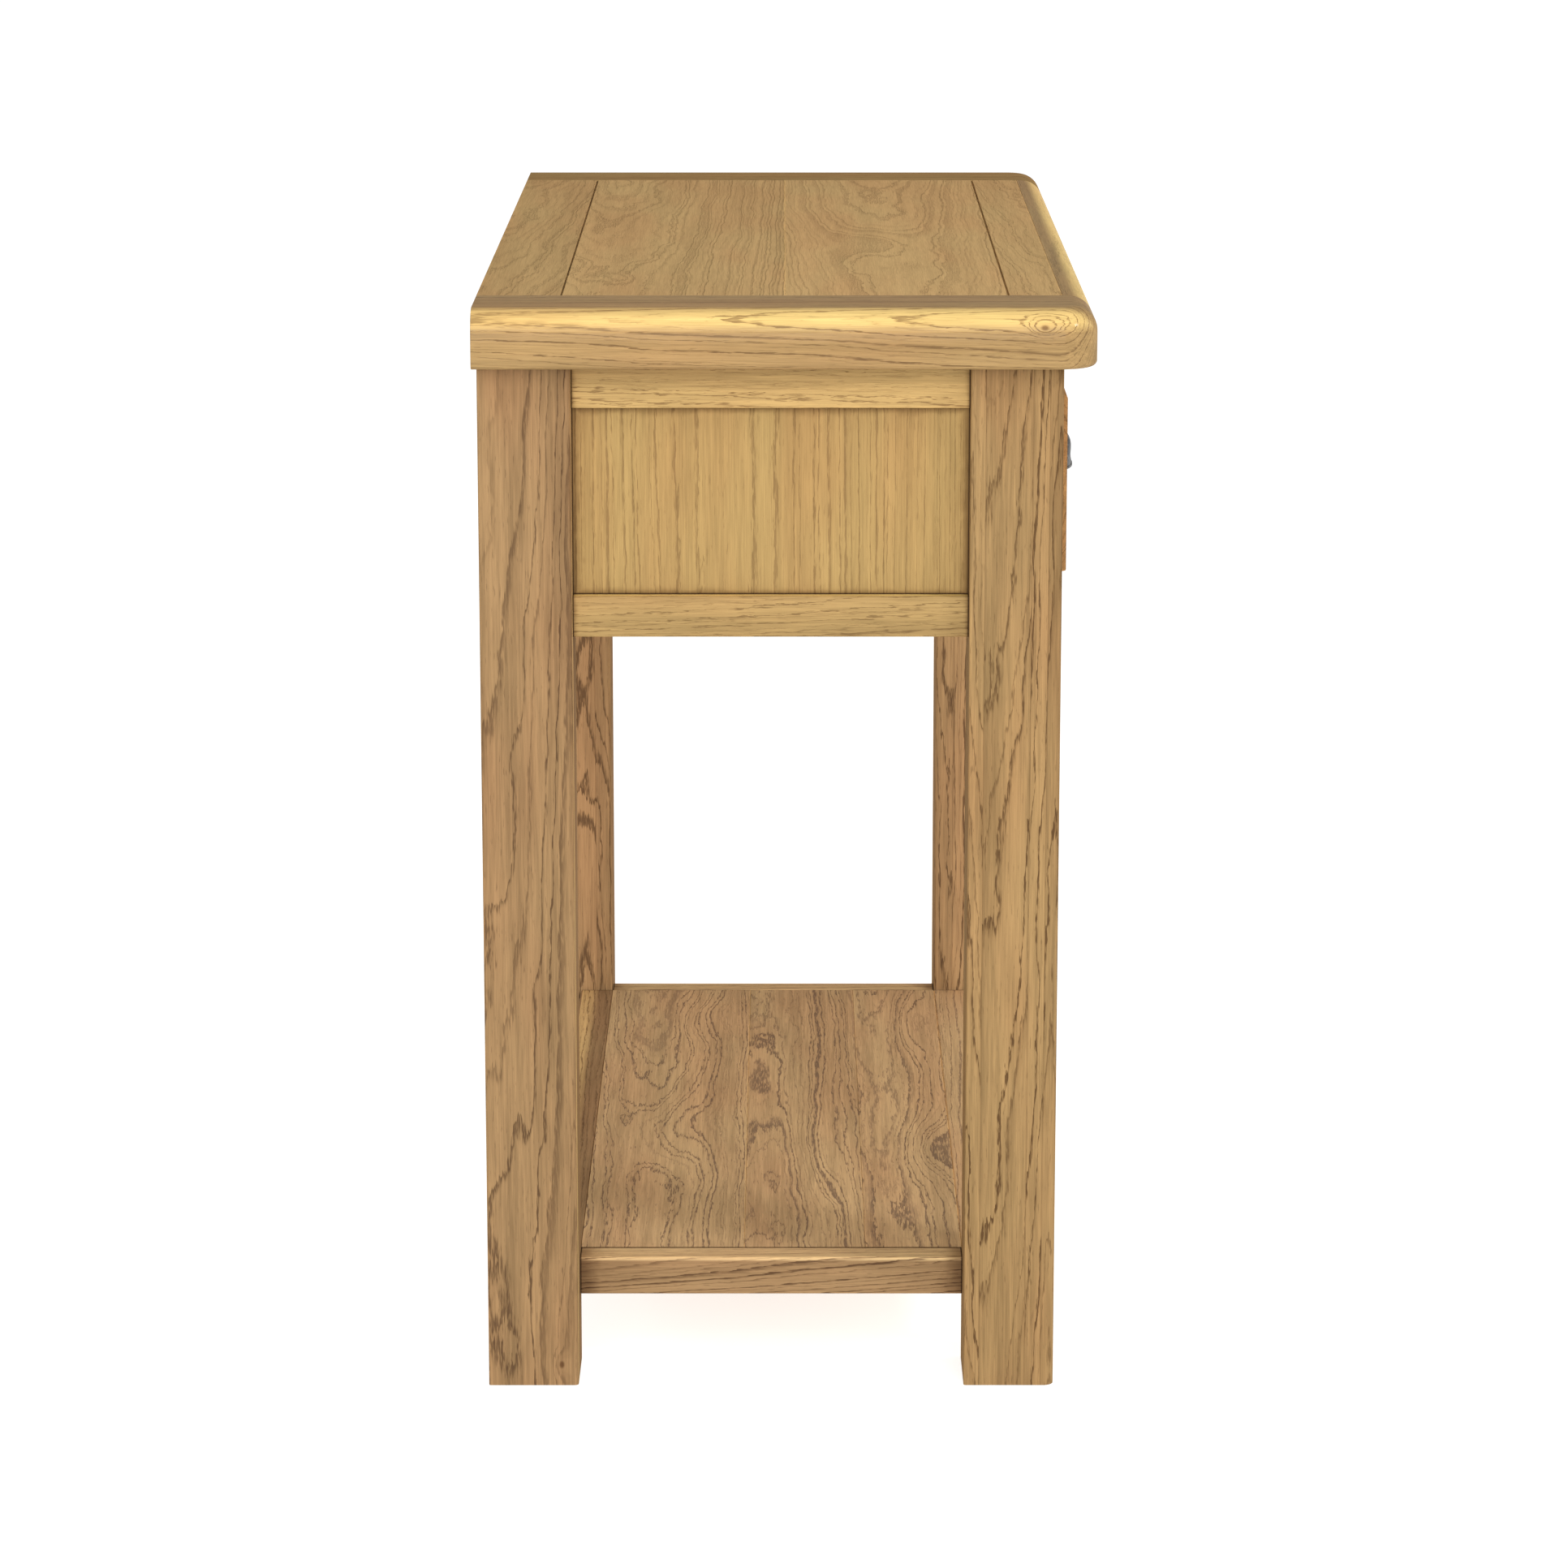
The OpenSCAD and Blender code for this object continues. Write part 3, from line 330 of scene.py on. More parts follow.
def makeOakBoard():
    group, given, outlet = newGroup("oakBoard", boardInputs,
        [("Colour", "Color"), ("Roughness", "Float"), ("Height", "Float")])
    glued = put(group, "ShaderNodeGroup", node_tree=makeStaves())
    log = put(group, "ShaderNodeGroup", node_tree=makeFigure())
    rim = put(group, "ShaderNodeGroup", node_tree=makeEdges())
    for inner in (glued, log, rim):
        for socket in inner.inputs:
            if not (inner == log and socket.name == "Vector"):
                group.links.new(given[socket.name], socket)
    group.links.new(glued.outputs["Vector"], log.inputs["Vector"])
    early, pores, fibre, streak, knot = (log.outputs[n] for n in ("Early", "Pores", "Fibre", "Streak", "Knot Mask"))
    colour = blendColour(group, calc(group, "MULTIPLY", early, given["Figure"]), given["Light"], given["Early Tint"])
    drift = calc(group, "MULTIPLY", fade(group, streak, 0.34, 0.66, -0.24, 0.18), given["Drift"])
    drift = calc(group, "ADD", calc(group, "ADD", drift, 1.0), fade(group, glued.outputs["Tone"], 0, 1, -0.08, 0.05))
    drift = calc(group, "MULTIPLY", drift, fade(group, fibre, 0.3, 0.7, 0.92, 1.06))
    colour = scaled(group, colour, drift)
    warm = fade(group, cloud(group, given["Vector"], (5, 22, 22), 2.0).outputs[0], 0.35, 0.7)
    colour = blendColour(group, calc(group, "MULTIPLY", warm, 0.6), colour,
        calcVector(group, "MULTIPLY", colour, oakTint["warm"]))
    colour = blendColour(group, calc(group, "MULTIPLY", pores, given["Pore Depth"]), colour, given["Pore Tint"])
    colour = blendColour(group, calc(group, "MULTIPLY", rim.outputs["Rubbed"], 0.3), colour,
        calcVector(group, "MULTIPLY", colour, oakTint["rubbed"]))
    # painted highlight: the band is lightened by its tint, standing in for the sheen on the roundovers and for light
    # on the shelf end rails' tops
    colour = blendColour(group, rim.outputs["Painted Light"], colour,
        calcVector(group, "MULTIPLY", colour, given["Painted Light Tint"]))
    # darkening: painted shade on the legs' top ends, darker ends and sides near joints elsewhere, together with real
    # knots and glue seams
    dark = calc(group, "MAXIMUM", calc(group, "MULTIPLY", rim.outputs["Darkening"], 0.55),
        calc(group, "MAXIMUM", calc(group, "MULTIPLY", knot, 0.8),
            calc(group, "MULTIPLY", glued.outputs["Seam"], 0.25)))
    colour = blendColour(group, dark, colour, calcVector(group, "MULTIPLY", colour, oakTint["darkened"]))
    colour = blendColour(group, calc(group, "MULTIPLY", rim.outputs["Joint"], 0.85), colour, oakTint["joint"])
    gloss = calc(group, "ADD", given["Gloss"], calc(group, "MULTIPLY", pores, 0.22))
    gloss = calc(group, "ADD", gloss, fade(group, streak, 0.2, 0.8, -0.04, 0.05))
    height = calc(group, "SUBTRACT", calc(group, "MULTIPLY", fibre, 0.2), calc(group, "MULTIPLY", pores, 0.7))
    height = calc(group, "SUBTRACT", height, calc(group, "MULTIPLY", early, given["Ring Relief"]))
    height = calc(group, "SUBTRACT", height, calc(group, "MULTIPLY", glued.outputs["Seam"], 0.4))
    send(group, outlet, {"Colour": colour, "Roughness": gloss, "Height": height})
    return group


oakBoard = makeOakBoard()

axisOf = {"X": Vector((1, 0, 0)), "Y": Vector((0, 1, 0)), "Z": Vector((0, 0, 1)),
    "-X": Vector((-1, 0, 0)), "-Y": Vector((0, -1, 0)), "-Z": Vector((0, 0, -1))}

# Stained oak in the tones of its boards: clear wood, ring band, pore.
slabEnd = {"light": linear(149, 122, 81), "early": linear(119, 89, 57), "pore": linear(75, 53, 34)}
topOlive = {"light": linear(182, 151, 104), "early": linear(156, 122, 83), "pore": linear(111, 84, 61)}
legHoney = {"light": linear(142, 115, 77), "early": linear(112, 85, 53), "pore": linear(68, 47, 30)}
legTan = {"light": linear(141, 113, 79), "early": linear(110, 86, 57), "pore": linear(71, 51, 37)}
# The next palette is legTan lightened by about 13 percent for the far legs: painted light, standing in for light the
# table keeps off them.
legTanLit = {"light": linear(160, 128, 90), "early": linear(126, 97, 64), "pore": linear(80, 58, 41)}
panelHoney = {"light": linear(158, 131, 84), "early": linear(129, 101, 61), "pore": linear(90, 64, 40)}
railHoney = {"light": linear(169, 140, 92), "early": linear(132, 100, 61), "pore": linear(84, 58, 37)}
# The next two palettes are railHoney lightened and darkened, for the upper and lower end rails: painted light and
# shade that even out the shadow under the top.
railHoneyLit = {"light": linear(178, 148, 97), "early": linear(139, 106, 64), "pore": linear(88, 61, 39)}
railHoneyShaded = {"light": linear(157, 130, 85), "early": linear(122, 93, 57), "pore": linear(78, 54, 34)}
shelfRail = {"light": linear(142, 114, 81), "early": linear(98, 70, 47), "pore": linear(58, 38, 28)}
shelfTan = {"light": linear(186, 155, 114), "early": linear(153, 122, 92), "pore": linear(101, 82, 69)}
amber = {"light": linear(152, 113, 70), "early": linear(122, 87, 52), "pore": linear(76, 50, 31)}
rawOak = {"light": linear(206, 178, 132), "early": linear(172, 138, 94), "pore": linear(112, 82, 54)}


# Material of one board: where it lies in the log, its palette, the darkening round its joints (painted shade on the
# legs' top ends) and its painted highlight band.
def oakFinish(board):
    low, high = board.get("box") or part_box(board["node"])
    centre = (Vector(low) + Vector(high)) / 2
    size = Vector(high) - Vector(low)
    along, out = axisOf[board["grain"]], axisOf[board["face"]]
    turn = Matrix((along, out.cross(along), out))
    finish = bpy.data.materials.new(board["node"] + "_oak")
    finish.use_nodes = True
    tree = finish.node_tree
    shader = tree.nodes["Principled BSDF"]
    place = put(tree, "ShaderNodeMapping", {
        "Vector": put(tree, "ShaderNodeTexCoord").outputs["Object"],
        "Rotation": turn.to_euler("XYZ"), "Location": -(turn @ centre)}, vector_type="POINT")
    palette = board["palette"]
    wood = put(tree, "ShaderNodeGroup", node_tree=oakBoard)
    tree.links.new(place.outputs[0], wood.inputs["Vector"])
    pithY, pithZ = board.get("pith", (0.0, -0.05))
    seams = board.get("seams", ())
    darkening = board.get("darkening", (0, 0, 0, 0))
    settings = {
        "Half": [abs(axis.dot(size)) / 2 for axis in turn], "Pith": (0, pithY, pithZ),
            "Lean": board.get("lean", 0.04),
        "Swing": board.get("swing", 0.01), "Ring Gap": board.get("gap", 0.004), "Line Width": board.get("line", 0.3),
        "Warp": board.get("warp", 0.006), "Jag": board.get("jag", 0.0005), "Knot": board.get("knot", (9, 9, 0)),
        "Knot Size": board.get("knotSize", 0.02), "Seed": board["seed"], "Rub": board.get("rub", 0.0012),
        "Painted Light Width": board.get("crown", 0.0), "Painted Light Depth": board.get("crownDepth", 0.0165),
        "Painted Light Tint": board.get("crownTint", (2.1, 2.3, 2.05)), "Drift": board.get("drift", 1.0),
        "Light": palette["light"], "Early Tint": palette["early"], "Pore Tint": palette["pore"],
        "Figure": board.get("figure", 0.6), "Pore Depth": board.get("pores", 0.75), "Gloss": board.get("gloss", 0.42),
        "Ring Relief": board.get("ringRelief", 0.3)}
    for label, (spot, reach) in zip(("Eye A", "Eye B"), board.get("eyes", ())):
        settings[label] = spot
        settings[label + " Size"] = reach
    settings.update(zip(seamLabels, seams))
    settings.update(zip(darkeningLabels, darkening))
    for label, value in settings.items():
        wood.inputs[label].default_value = value
    relief = put(tree, "ShaderNodeBump", {"Height": wood.outputs["Height"], "Strength": board.get("relief", 0.5),
        "Distance": 0.0006})
    tree.links.new(wood.outputs["Colour"], shader.inputs["Base Color"])
    tree.links.new(wood.outputs["Roughness"], shader.inputs["Roughness"])
    tree.links.new(relief.outputs[0], shader.inputs["Normal"])
    shader.inputs["Specular IOR Level"].default_value = board.get("shine", 0.0)
    shader.inputs["Coat Weight"].default_value = board.get("lacquer", 0.03)
    shader.inputs["Coat Roughness"].default_value = board.get("lacquerBlur", 0.3)
    return finish


def softenEdges(mesh, sharpest):
    # merged, with flat faces made whole, and smooth but for its corners
    work = bmesh.new()
    work.from_mesh(mesh)
    bmesh.ops.remove_doubles(work, verts=work.verts, dist=0.00002)
    bmesh.ops.dissolve_limit(work, angle_limit=math.radians(0.5), verts=work.verts, edges=work.edges)
    for face in work.faces:
        face.smooth = True
    for edge in work.edges:
        edge.smooth = edge.is_manifold and edge.calc_face_angle(0) < math.radians(sharpest)
    work.to_mesh(mesh)
    work.free()


# Mesh of one board: its solid with clean faces and softened arrises.
def carveBoard(board):
    mesh = frame["nodes"][board["node"]].data.copy()
    softenEdges(mesh, 35)
    mesh.materials.clear()
    mesh.name = board["node"] + "_board"
    piece = bpy.data.objects.new(board["node"] + "_board", mesh)
    bpy.context.collection.objects.link(piece)
    soften = piece.modifiers.new("softArris", "BEVEL")
    soften.width = board.get("soften", 0.0007)
    soften.segments = 2
    soften.limit_method = "ANGLE"
    soften.angle_limit = math.radians(35)
    soften.harden_normals = True
    return piece


def settle(piece, node, finish):
    piece.data.materials.append(finish)
    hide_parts(node)
    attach(piece, bodyOf[node])


def fitBoard(board):
    settle(carveBoard(board), board["node"], oakFinish(board))


# The breadboards and the nosing carry a painted highlight band along their roundovers.
topBoards = [
    {"node": "top_breadboard_left", "grain": "Y", "face": "-X", "palette": slabEnd, "pith": (0.05, -0.05),
        "lean": 0.03,
        "gap": 0.0015, "warp": 0.0015, "jag": 0.0003, "line": 0.36, "figure": 0.5, "pores": 0.55, "seed": 2.0,
        "knot": (-0.171, -0.008, 0), "knotSize": 0.006, "soften": 0.0004, "crown": 0.0165, "lacquer": 0.13,
        "lacquerBlur": 0.1, "drift": 0.7},
    {"node": "top_breadboard_right", "grain": "-Y", "face": "X", "palette": slabEnd, "pith": (0.05, -0.05),
        "lean": -0.03,
        "gap": 0.0015, "warp": 0.0015, "jag": 0.0003, "line": 0.36, "figure": 0.5, "pores": 0.55, "seed": 3.0,
            "soften": 0.0004,
        "crown": 0.0165, "lacquer": 0.0, "drift": 0.7},
]
topFinish = {"grain": "X", "face": "Z", "palette": topOlive, "figure": 0.05, "pores": 0.06, "jag": 0.0004,
    "warp": 0.004,
    "line": 0.4, "ringRelief": 1.0, "relief": 0.8, "drift": 0.4, "lacquer": 0.0, "gloss": 0.5}
topBoards += [{**topFinish, **board} for board in (
    {"node": "top_board_back", "pith": (0.03, -0.09), "lean": 0.02, "gap": 0.0022, "seed": 4.0, "soften": 0.0005},
    {"node": "top_board_middle_back", "pith": (0.05, -0.09), "lean": 0.02, "gap": 0.0022, "seed": 5.0,
        "soften": 0.0004},
    {"node": "top_board_middle_front", "pith": (0.0, -0.07), "lean": 0.02, "gap": 0.0028, "seed": 6.0,
        "eyes": (((-0.06, 0.012, 0.009), (0.09, 0.03, 1)),), "figure": 0.11, "pores": 0.12, "soften": 0.0004},
    {"node": "top_board_front", "pith": (-0.04, -0.09), "lean": 0.02, "gap": 0.0022, "seed": 7.0, "soften": 0.0005},
    {"node": "top_front_nosing", "palette": slabEnd, "pith": (0.03, -0.06), "lean": 0.015, "gap": 0.003, "seed": 8.0,
        "soften": 0.0004, "crown": 0.0165, "lacquer": 0.1, "lacquerBlur": 0.12},
)]
for board in topBoards:
    fitBoard(board)
print("top is made")


# Each leg's second darkening value darkens its top end: painted shade standing in for the shadow under the top.
legs = [
    {"node": "leg_back_left", "grain": "Z", "face": "-X", "palette": legTan, "pith": (0.03, -0.05), "lean": 0.03,
        "swing": 0.012, "gap": 0.0039, "warp": 0.0045, "line": 0.25, "jag": 0.0004, "seed": 11.0,
            "knot": (-0.340, -0.0195, 0), "knotSize": 0.006,
        "darkening": (0, 0.005, 0, 0)},
    {"node": "leg_front_left", "grain": "Z", "face": "-X", "palette": legHoney, "pith": (0.02, -0.045), "lean": 0.035,
        "gap": 0.0036, "warp": 0.0045, "line": 0.26, "jag": 0.0005, "figure": 0.7, "seed": 12.0,
            "seams": (-0.0217, -0.0106, 0.0208), "darkening": (0, 0.005, 0, 0)},
    {"node": "leg_back_right", "grain": "Z", "face": "X", "palette": legTanLit, "pith": (0.01, -0.06), "lean": -0.04,
        "gap": 0.0034, "seed": 13.0, "seams": (0.018,), "darkening": (0, 0.005, 0, 0)},
    {"node": "leg_front_right", "grain": "Z", "face": "X", "palette": legTanLit, "pith": (-0.014, -0.05), "lean": 0.035,
        "gap": 0.0034, "seed": 14.0, "seams": (-0.016, 0.014), "darkening": (0, 0.005, 0, 0)},
]
for board in legs:
    fitBoard(board)
print("legs are made")


def between(node, axis, low, high):
    # the stretch of a board that shows, without its tenons
    start, end = (list(corner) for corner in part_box(node))
    start[axis], end[axis] = low, high
    return start, end


legGap = (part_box("leg_front_left")[1][1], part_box("leg_back_left")[0][1])
legRun = (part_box("leg_front_left")[1][0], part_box("leg_front_right")[0][0])
panelRise = (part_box("end_lower_rail_left")[1][2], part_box("end_upper_rail_left")[0][2])


def panelBox(node, axis, run):
    start, end = between(node, axis, *run)
    start[2], end[2] = panelRise
    return start, end


railFinish = {"palette": railHoney, "figure": 0.34, "pores": 0.5, "drift": 0.7, "jag": 0.0007,
    "darkening": (0.004, 0.004, 0, 0)}
panelFinish = {"palette": panelHoney, "figure": 0.2, "pores": 0.42, "jag": 0.0003, "drift": 0.5,
    "darkening": (0.005, 0.008, 0.009, 0.009)}
rails = []
for number, (side, face) in enumerate((("left", "-X"), ("right", "X"))):
    for kind, pith, tone in (("upper", (0.03, -0.04), railHoneyLit), ("lower", (-0.03, -0.05), railHoneyShaded)):
        node = "end_" + kind + "_rail_" + side
        rails.append({**railFinish, "node": node, "grain": "Y", "face": face, "palette": tone,
            "pith": pith, "lean": 0.02, "gap": 0.0016,
            "warp": 0.0010, "seed": 21.0 + 3 * number + len(rails), "box": between(node, 1, *legGap)})
    # The shelf end rails carry a painted lit band along their top face, which lies in shade under the case.
    node = "shelf_end_rail_" + side
    rails.append({**railFinish, "node": node, "grain": "Y" if face == "-X" else "-Y", "face": face,
        "pith": (-0.03, -0.05), "lean": 0.04,
        "gap": 0.0016, "warp": 0.0012, "figure": 0.65, "pores": 0.6, "line": 0.4, "jag": 0.0003,
        "palette": shelfRail, "crown": 0.0035, "crownDepth": 0.08, "crownTint": (2.3, 2.6, 2.65),
            "seed": 31.0 + number,
        "darkening": (0.02, 0.02, 0, 0), "box": between(node, 1, *legGap)})
    node = "end_panel_" + side
    rails.append({**panelFinish, "node": node, "grain": "Z", "face": face, "pith": (0.03, -0.16), "lean": 0.0,
        "swing": 0.002, "gap": 0.0021, "warp": 0.0008, "seed": 34.0 + number, "box": panelBox(node, 1, legGap)})
for number, node in enumerate(("front_upper_rail", "front_lower_rail", "back_upper_rail", "back_lower_rail",
        "shelf_front_rail", "shelf_back_rail")):
    rails.append({**railFinish, "node": node, "grain": "X", "face": "Y" if "back" in node else "-Y",
        "palette": shelfRail if node == "shelf_back_rail" else shelfTan if "shelf" in node else railHoney,
            "pith": (0.03, -0.05), "lean": 0.02, "gap": 0.0028,
        "warp": 0.003, "seed": 41.0 + number, "box": between(node, 0, *legRun)})
rails.append({**panelFinish, "node": "back_panel", "grain": "X", "face": "Y", "pith": (0.02, -0.09), "lean": 0.04,
    "gap": 0.0036, "seed": 48.0, "box": panelBox("back_panel", 0, legRun)})
rails.append({**railFinish, "node": "drawer_divider", "grain": "Z", "face": "-Y", "pith": (0.02, -0.05), "lean": 0.03,
    "gap": 0.003, "seed": 49.0})
for board in rails:
    fitBoard(board)
print("rails and panels are made")


shelfFinish = {"grain": "X", "face": "Z", "palette": shelfTan, "figure": 0.5, "pores": 0.7, "jag": 0.0005,
    "line": 0.36,
    "drift": 0.8, "lacquer": 0.0, "gloss": 0.5, "darkening": (0.0015, 0.0015, 0, 0)}
shelfBoards = [{**shelfFinish, **board} for board in (
    {"node": "shelf_board_back", "pith": (0.014, -0.055), "lean": 0.012, "gap": 0.0022, "warp": 0.005, "seed": 51.0,
        "eyes": (((-0.062, -0.002, 0.011), (0.095, 0.032, 1)), ((0.268, -0.026, 0.008), (0.06, 0.022, 1)))},
    {"node": "shelf_board_centre", "pith": (0.03, -0.05), "lean": -0.015, "gap": 0.0025, "warp": 0.0055, "seed": 52.0,
        "eyes": (((-0.089, -0.013, 0.009), (0.12, 0.018, 1)),)},
    {"node": "shelf_board_front", "pith": (0.012, -0.05), "lean": 0.01, "gap": 0.0022, "warp": 0.004, "seed": 53.0,
        "eyes": (((-0.107, -0.019, 0.012), (0.075, 0.02, 1)), ((0.26, -0.012, 0.008), (0.1, 0.012, 1)))},
    {"node": "shelf_cleats", "face": "-Z", "palette": rawOak, "gap": 0.003, "seed": 54.0},
)]
for board in shelfBoards:
    fitBoard(board)
print("shelf is made")


hiddenFinish = {"palette": rawOak, "figure": 0.5, "pores": 0.6, "gloss": 0.58, "lacquer": 0.0, "shine": 0.25}
for number, node in enumerate(("runner_left", "runner_centre", "runner_right", "kicker_left", "kicker_centre",
        "kicker_right", "drawer_stops")):
    fitBoard({**hiddenFinish, "node": node, "grain": "X" if node == "drawer_stops" else "Y", "face": "Z",
        "pith": (0.02, -0.06), "lean": 0.02, "gap": 0.003, "seed": 61.0 + number})
print("runners are made")


for number, side in enumerate(("left", "right")):
    fitBoard({"node": side + "_drawer_front", "grain": "X", "face": "-Y", "palette": amber,
        "pith": (0.01 - 0.02 * number, -0.055), "lean": 0.05, "gap": 0.0038, "figure": 0.42, "pores": 0.5,
            "seed": 71.0 + number, "soften": 0.0004,
        "eyes": (((-0.04, 0.01, 0.01), (0.1, 0.03, 1)),)})
    for part, grain, face in (("side_left", "Y", "-X"), ("side_right", "Y", "X"), ("back", "X", "Y"),
        ("bottom", "X", "Z")):
        fitBoard({**hiddenFinish, "node": side + "_drawer_" + part, "grain": grain, "face": face,
            "pith": (0.03, -0.08),
            "lean": 0.02, "gap": 0.0032, "seed": 75.0 + 5 * number + len(part), "soften": 0.0003})
print("drawers are made")


# Cast and worn metal: where it is rubbed bright, how rough it is, and its fine hammering.
def makeWornMetal():
    group, given, outlet = newGroup("wornMetal", [("Vector", "Vector", (0, 0, 0)), ("Grain", "Float", 400.0),
        ("Wear", "Float", 0.5), ("Seed", "Float", 0.0)], [("Worn", "Float"), ("Roughness", "Float"),
            ("Height", "Float")])
    seeds = put(group, "ShaderNodeCombineXYZ", {0: given["Seed"], 1: given["Seed"], 2: given["Seed"]}).outputs[0]
    place = calcVector(group, "ADD", given["Vector"], seeds)
    fine = put(group, "ShaderNodeTexNoise", {"Vector": place, "Scale": given["Grain"], "Detail": 3.0,
        "Roughness": 0.6})
    patch = cloud(group, place, (90, 90, 160), 3.0, 0.65).outputs[0]
    dimple = put(group, "ShaderNodeTexVoronoi", {"Vector": place,
        "Scale": calc(group, "MULTIPLY", given["Grain"], 1.4)})
    worn = calc(group, "MULTIPLY", fade(group, patch, calc(group, "SUBTRACT", 0.72,
        calc(group, "MULTIPLY", given["Wear"], 0.35)),
        0.78), fade(group, fine.outputs[0], 0.35, 0.6, 0.35, 1.0))
    height = calc(group, "ADD", fine.outputs[0], calc(group, "MULTIPLY", dimple.outputs["Distance"], 0.5))
    send(group, outlet, {"Worn": worn, "Roughness": fade(group, fine.outputs[0], 0.3, 0.7, 0.34, 0.55),
        "Height": height})
    return group


wornMetal = makeWornMetal()


def metalFinish(name, dark, bright, grain, wear, metallic, relief):
    finish = bpy.data.materials.new(name)
    finish.use_nodes = True
    tree = finish.node_tree
    shader = tree.nodes["Principled BSDF"]
    skin = put(tree, "ShaderNodeGroup", {"Vector": put(tree, "ShaderNodeTexCoord").outputs["Object"], "Grain": grain,
        "Wear": wear, "Seed": 3.0}, node_tree=wornMetal)
    tree.links.new(blendColour(tree, skin.outputs["Worn"], dark, bright), shader.inputs["Base Color"])
    tree.links.new(skin.outputs["Roughness"], shader.inputs["Roughness"])
    bump = put(tree, "ShaderNodeBump", {"Height": skin.outputs["Height"], "Strength": relief, "Distance": 0.0002})
    tree.links.new(bump.outputs[0], shader.inputs["Normal"])
    shader.inputs["Metallic"].default_value = metallic
    return finish


# Cup pull: share runs from the lip (0) to the top of the shell (1), and the shell bulges away from the drawer.
cupPull = {"rings": 36, "steps": 64, "wall": 0.0018, "lipShare": 1 / 12, "waist": 0.86, "bellyAt": 0.52,
    "flareEnd": 0.31, "bead": 0.0011, "flange": 0.0009,
    "bossRadius": 0.0045, "bossApart": 0.038, "dark": linear(56, 55, 54), "bright": linear(122, 119, 116)}


def pullSection(share, width, reach):
    # half width and projection of the shell at one share of its height
    belly, flare = reach * (1 - cupPull["lipShare"]), reach * cupPull["lipShare"]
    held = min(share, 0.999)
    half = width / 2 * math.sqrt(1 - held ** 2.2)
    waist, peak, end = cupPull["waist"], cupPull["bellyAt"], cupPull["flareEnd"]
    if held < peak:
        out = belly * (waist + (1 - waist) * math.sin(held / peak * math.pi / 2))
    else:
        out = belly * math.sqrt(1 - ((held - peak) / (1 - peak)) ** 2)
    if held < end:
        out += (flare + (1 - waist) * belly) * (1 - held / end) ** 1.5
    return half, out


def pullRing(share, inset, width, height, reach):
    half, out = pullSection(share, width, reach)
    half, out = max(half - inset, 0.0002), max(out - inset, 0.0001)
    up = share * (height - inset)
    return [Vector((-half * math.cos(math.pi * j / cupPull["steps"]), -out * math.sin(math.pi * j / cupPull["steps"]),
        up))
        for j in range(cupPull["steps"] + 1)]


def addTube(work, path, radius, around=10):
    # closed round bead along an open path
    rings = []
    for i, spot in enumerate(path):
        ahead = (path[min(i + 1, len(path) - 1)] - path[max(i - 1, 0)]).normalized()
        side = ahead.orthogonal().normalized() if not rings else (side - ahead * side.dot(ahead)).normalized()
        up = ahead.cross(side)
        rings.append([work.verts.new(
            spot + (side * math.cos(math.tau * k / around) + up * math.sin(math.tau * k / around)) * radius)
            for k in range(around)])
    for first, second in zip(rings, rings[1:]):
        for k in range(around):
            work.faces.new((first[k], second[k], second[(k + 1) % around], first[(k + 1) % around]))
    work.faces.new(rings[0])
    work.faces.new(reversed(rings[-1]))


def makePull(node, finish):
    low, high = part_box(node)
    width, reach, height = (high[i] - low[i] for i in range(3))
    base = Vector(((low[0] + high[0]) / 2, high[1], low[2]))
    work = bmesh.new()
    shares = [1 - (1 - i / cupPull["rings"]) ** 1.4 for i in range(cupPull["rings"] + 1)]
    skins = [[[work.verts.new(point) for point in pullRing(share, inset, width, height, reach)] for share in shares]
        for inset in (0.0, cupPull["wall"])]
    for skin in skins:
        for first, second in zip(skin, skin[1:]):
            for j in range(cupPull["steps"]):
                work.faces.new((first[j], first[j + 1], second[j + 1], second[j]))
        work.faces.new(skin[-1])
    outer, inner = skins
    for j in range(cupPull["steps"]):
        work.faces.new((outer[0][j], outer[0][j + 1], inner[0][j + 1], inner[0][j]))
    for i in range(cupPull["rings"]):
        for j in (0, cupPull["steps"]):
            work.faces.new((outer[i][j], outer[i + 1][j], inner[i + 1][j], inner[i][j]))
    work.faces.new((outer[-1][0], inner[-1][0], inner[-1][-1], outer[-1][-1]))
    bead, flange = cupPull["bead"], cupPull["flange"]
    lip = [point + Vector((0, 0, bead)) for point in pullRing(0.0, bead, width, height, reach)[2:-2]]
    addTube(work, lip, bead)
    rim = [pullRing(share, flange, width, height - flange, reach)[0] for share in shares[1:]]
    rim = [Vector((point.x, -flange, point.z)) for point in rim]
    addTube(work, rim + [Vector((-point.x, point.y, point.z)) for point in reversed(rim)], flange)
    # bosses that take the screws
    for side in (-1, 1):
        half, out = pullSection(0.5, width, reach)
        x = side * cupPull["bossApart"] / 2
        length = out * math.sqrt(1 - (abs(x) + cupPull["bossRadius"]) ** 2 / half ** 2) - 0.0006
        made = bmesh.ops.create_cone(work, cap_ends=True, segments=28, radius1=cupPull["bossRadius"] * 1.12,
            radius2=cupPull["bossRadius"] * 0.9, depth=length, matrix=Matrix.Translation((x, -length / 2, height / 2))
            @ Matrix.Rotation(math.pi / 2, 4, "X"))
    bmesh.ops.remove_doubles(work, verts=work.verts, dist=0.00001)
    bmesh.ops.recalc_face_normals(work, faces=work.faces)
    bmesh.ops.translate(work, verts=work.verts, vec=base)
    mesh = bpy.data.meshes.new(node + "_shell")
    work.to_mesh(mesh)
    work.free()
    softenEdges(mesh, 50)
    piece = bpy.data.objects.new(node + "_shell", mesh)
    bpy.context.collection.objects.link(piece)
    settle(piece, node, finish)


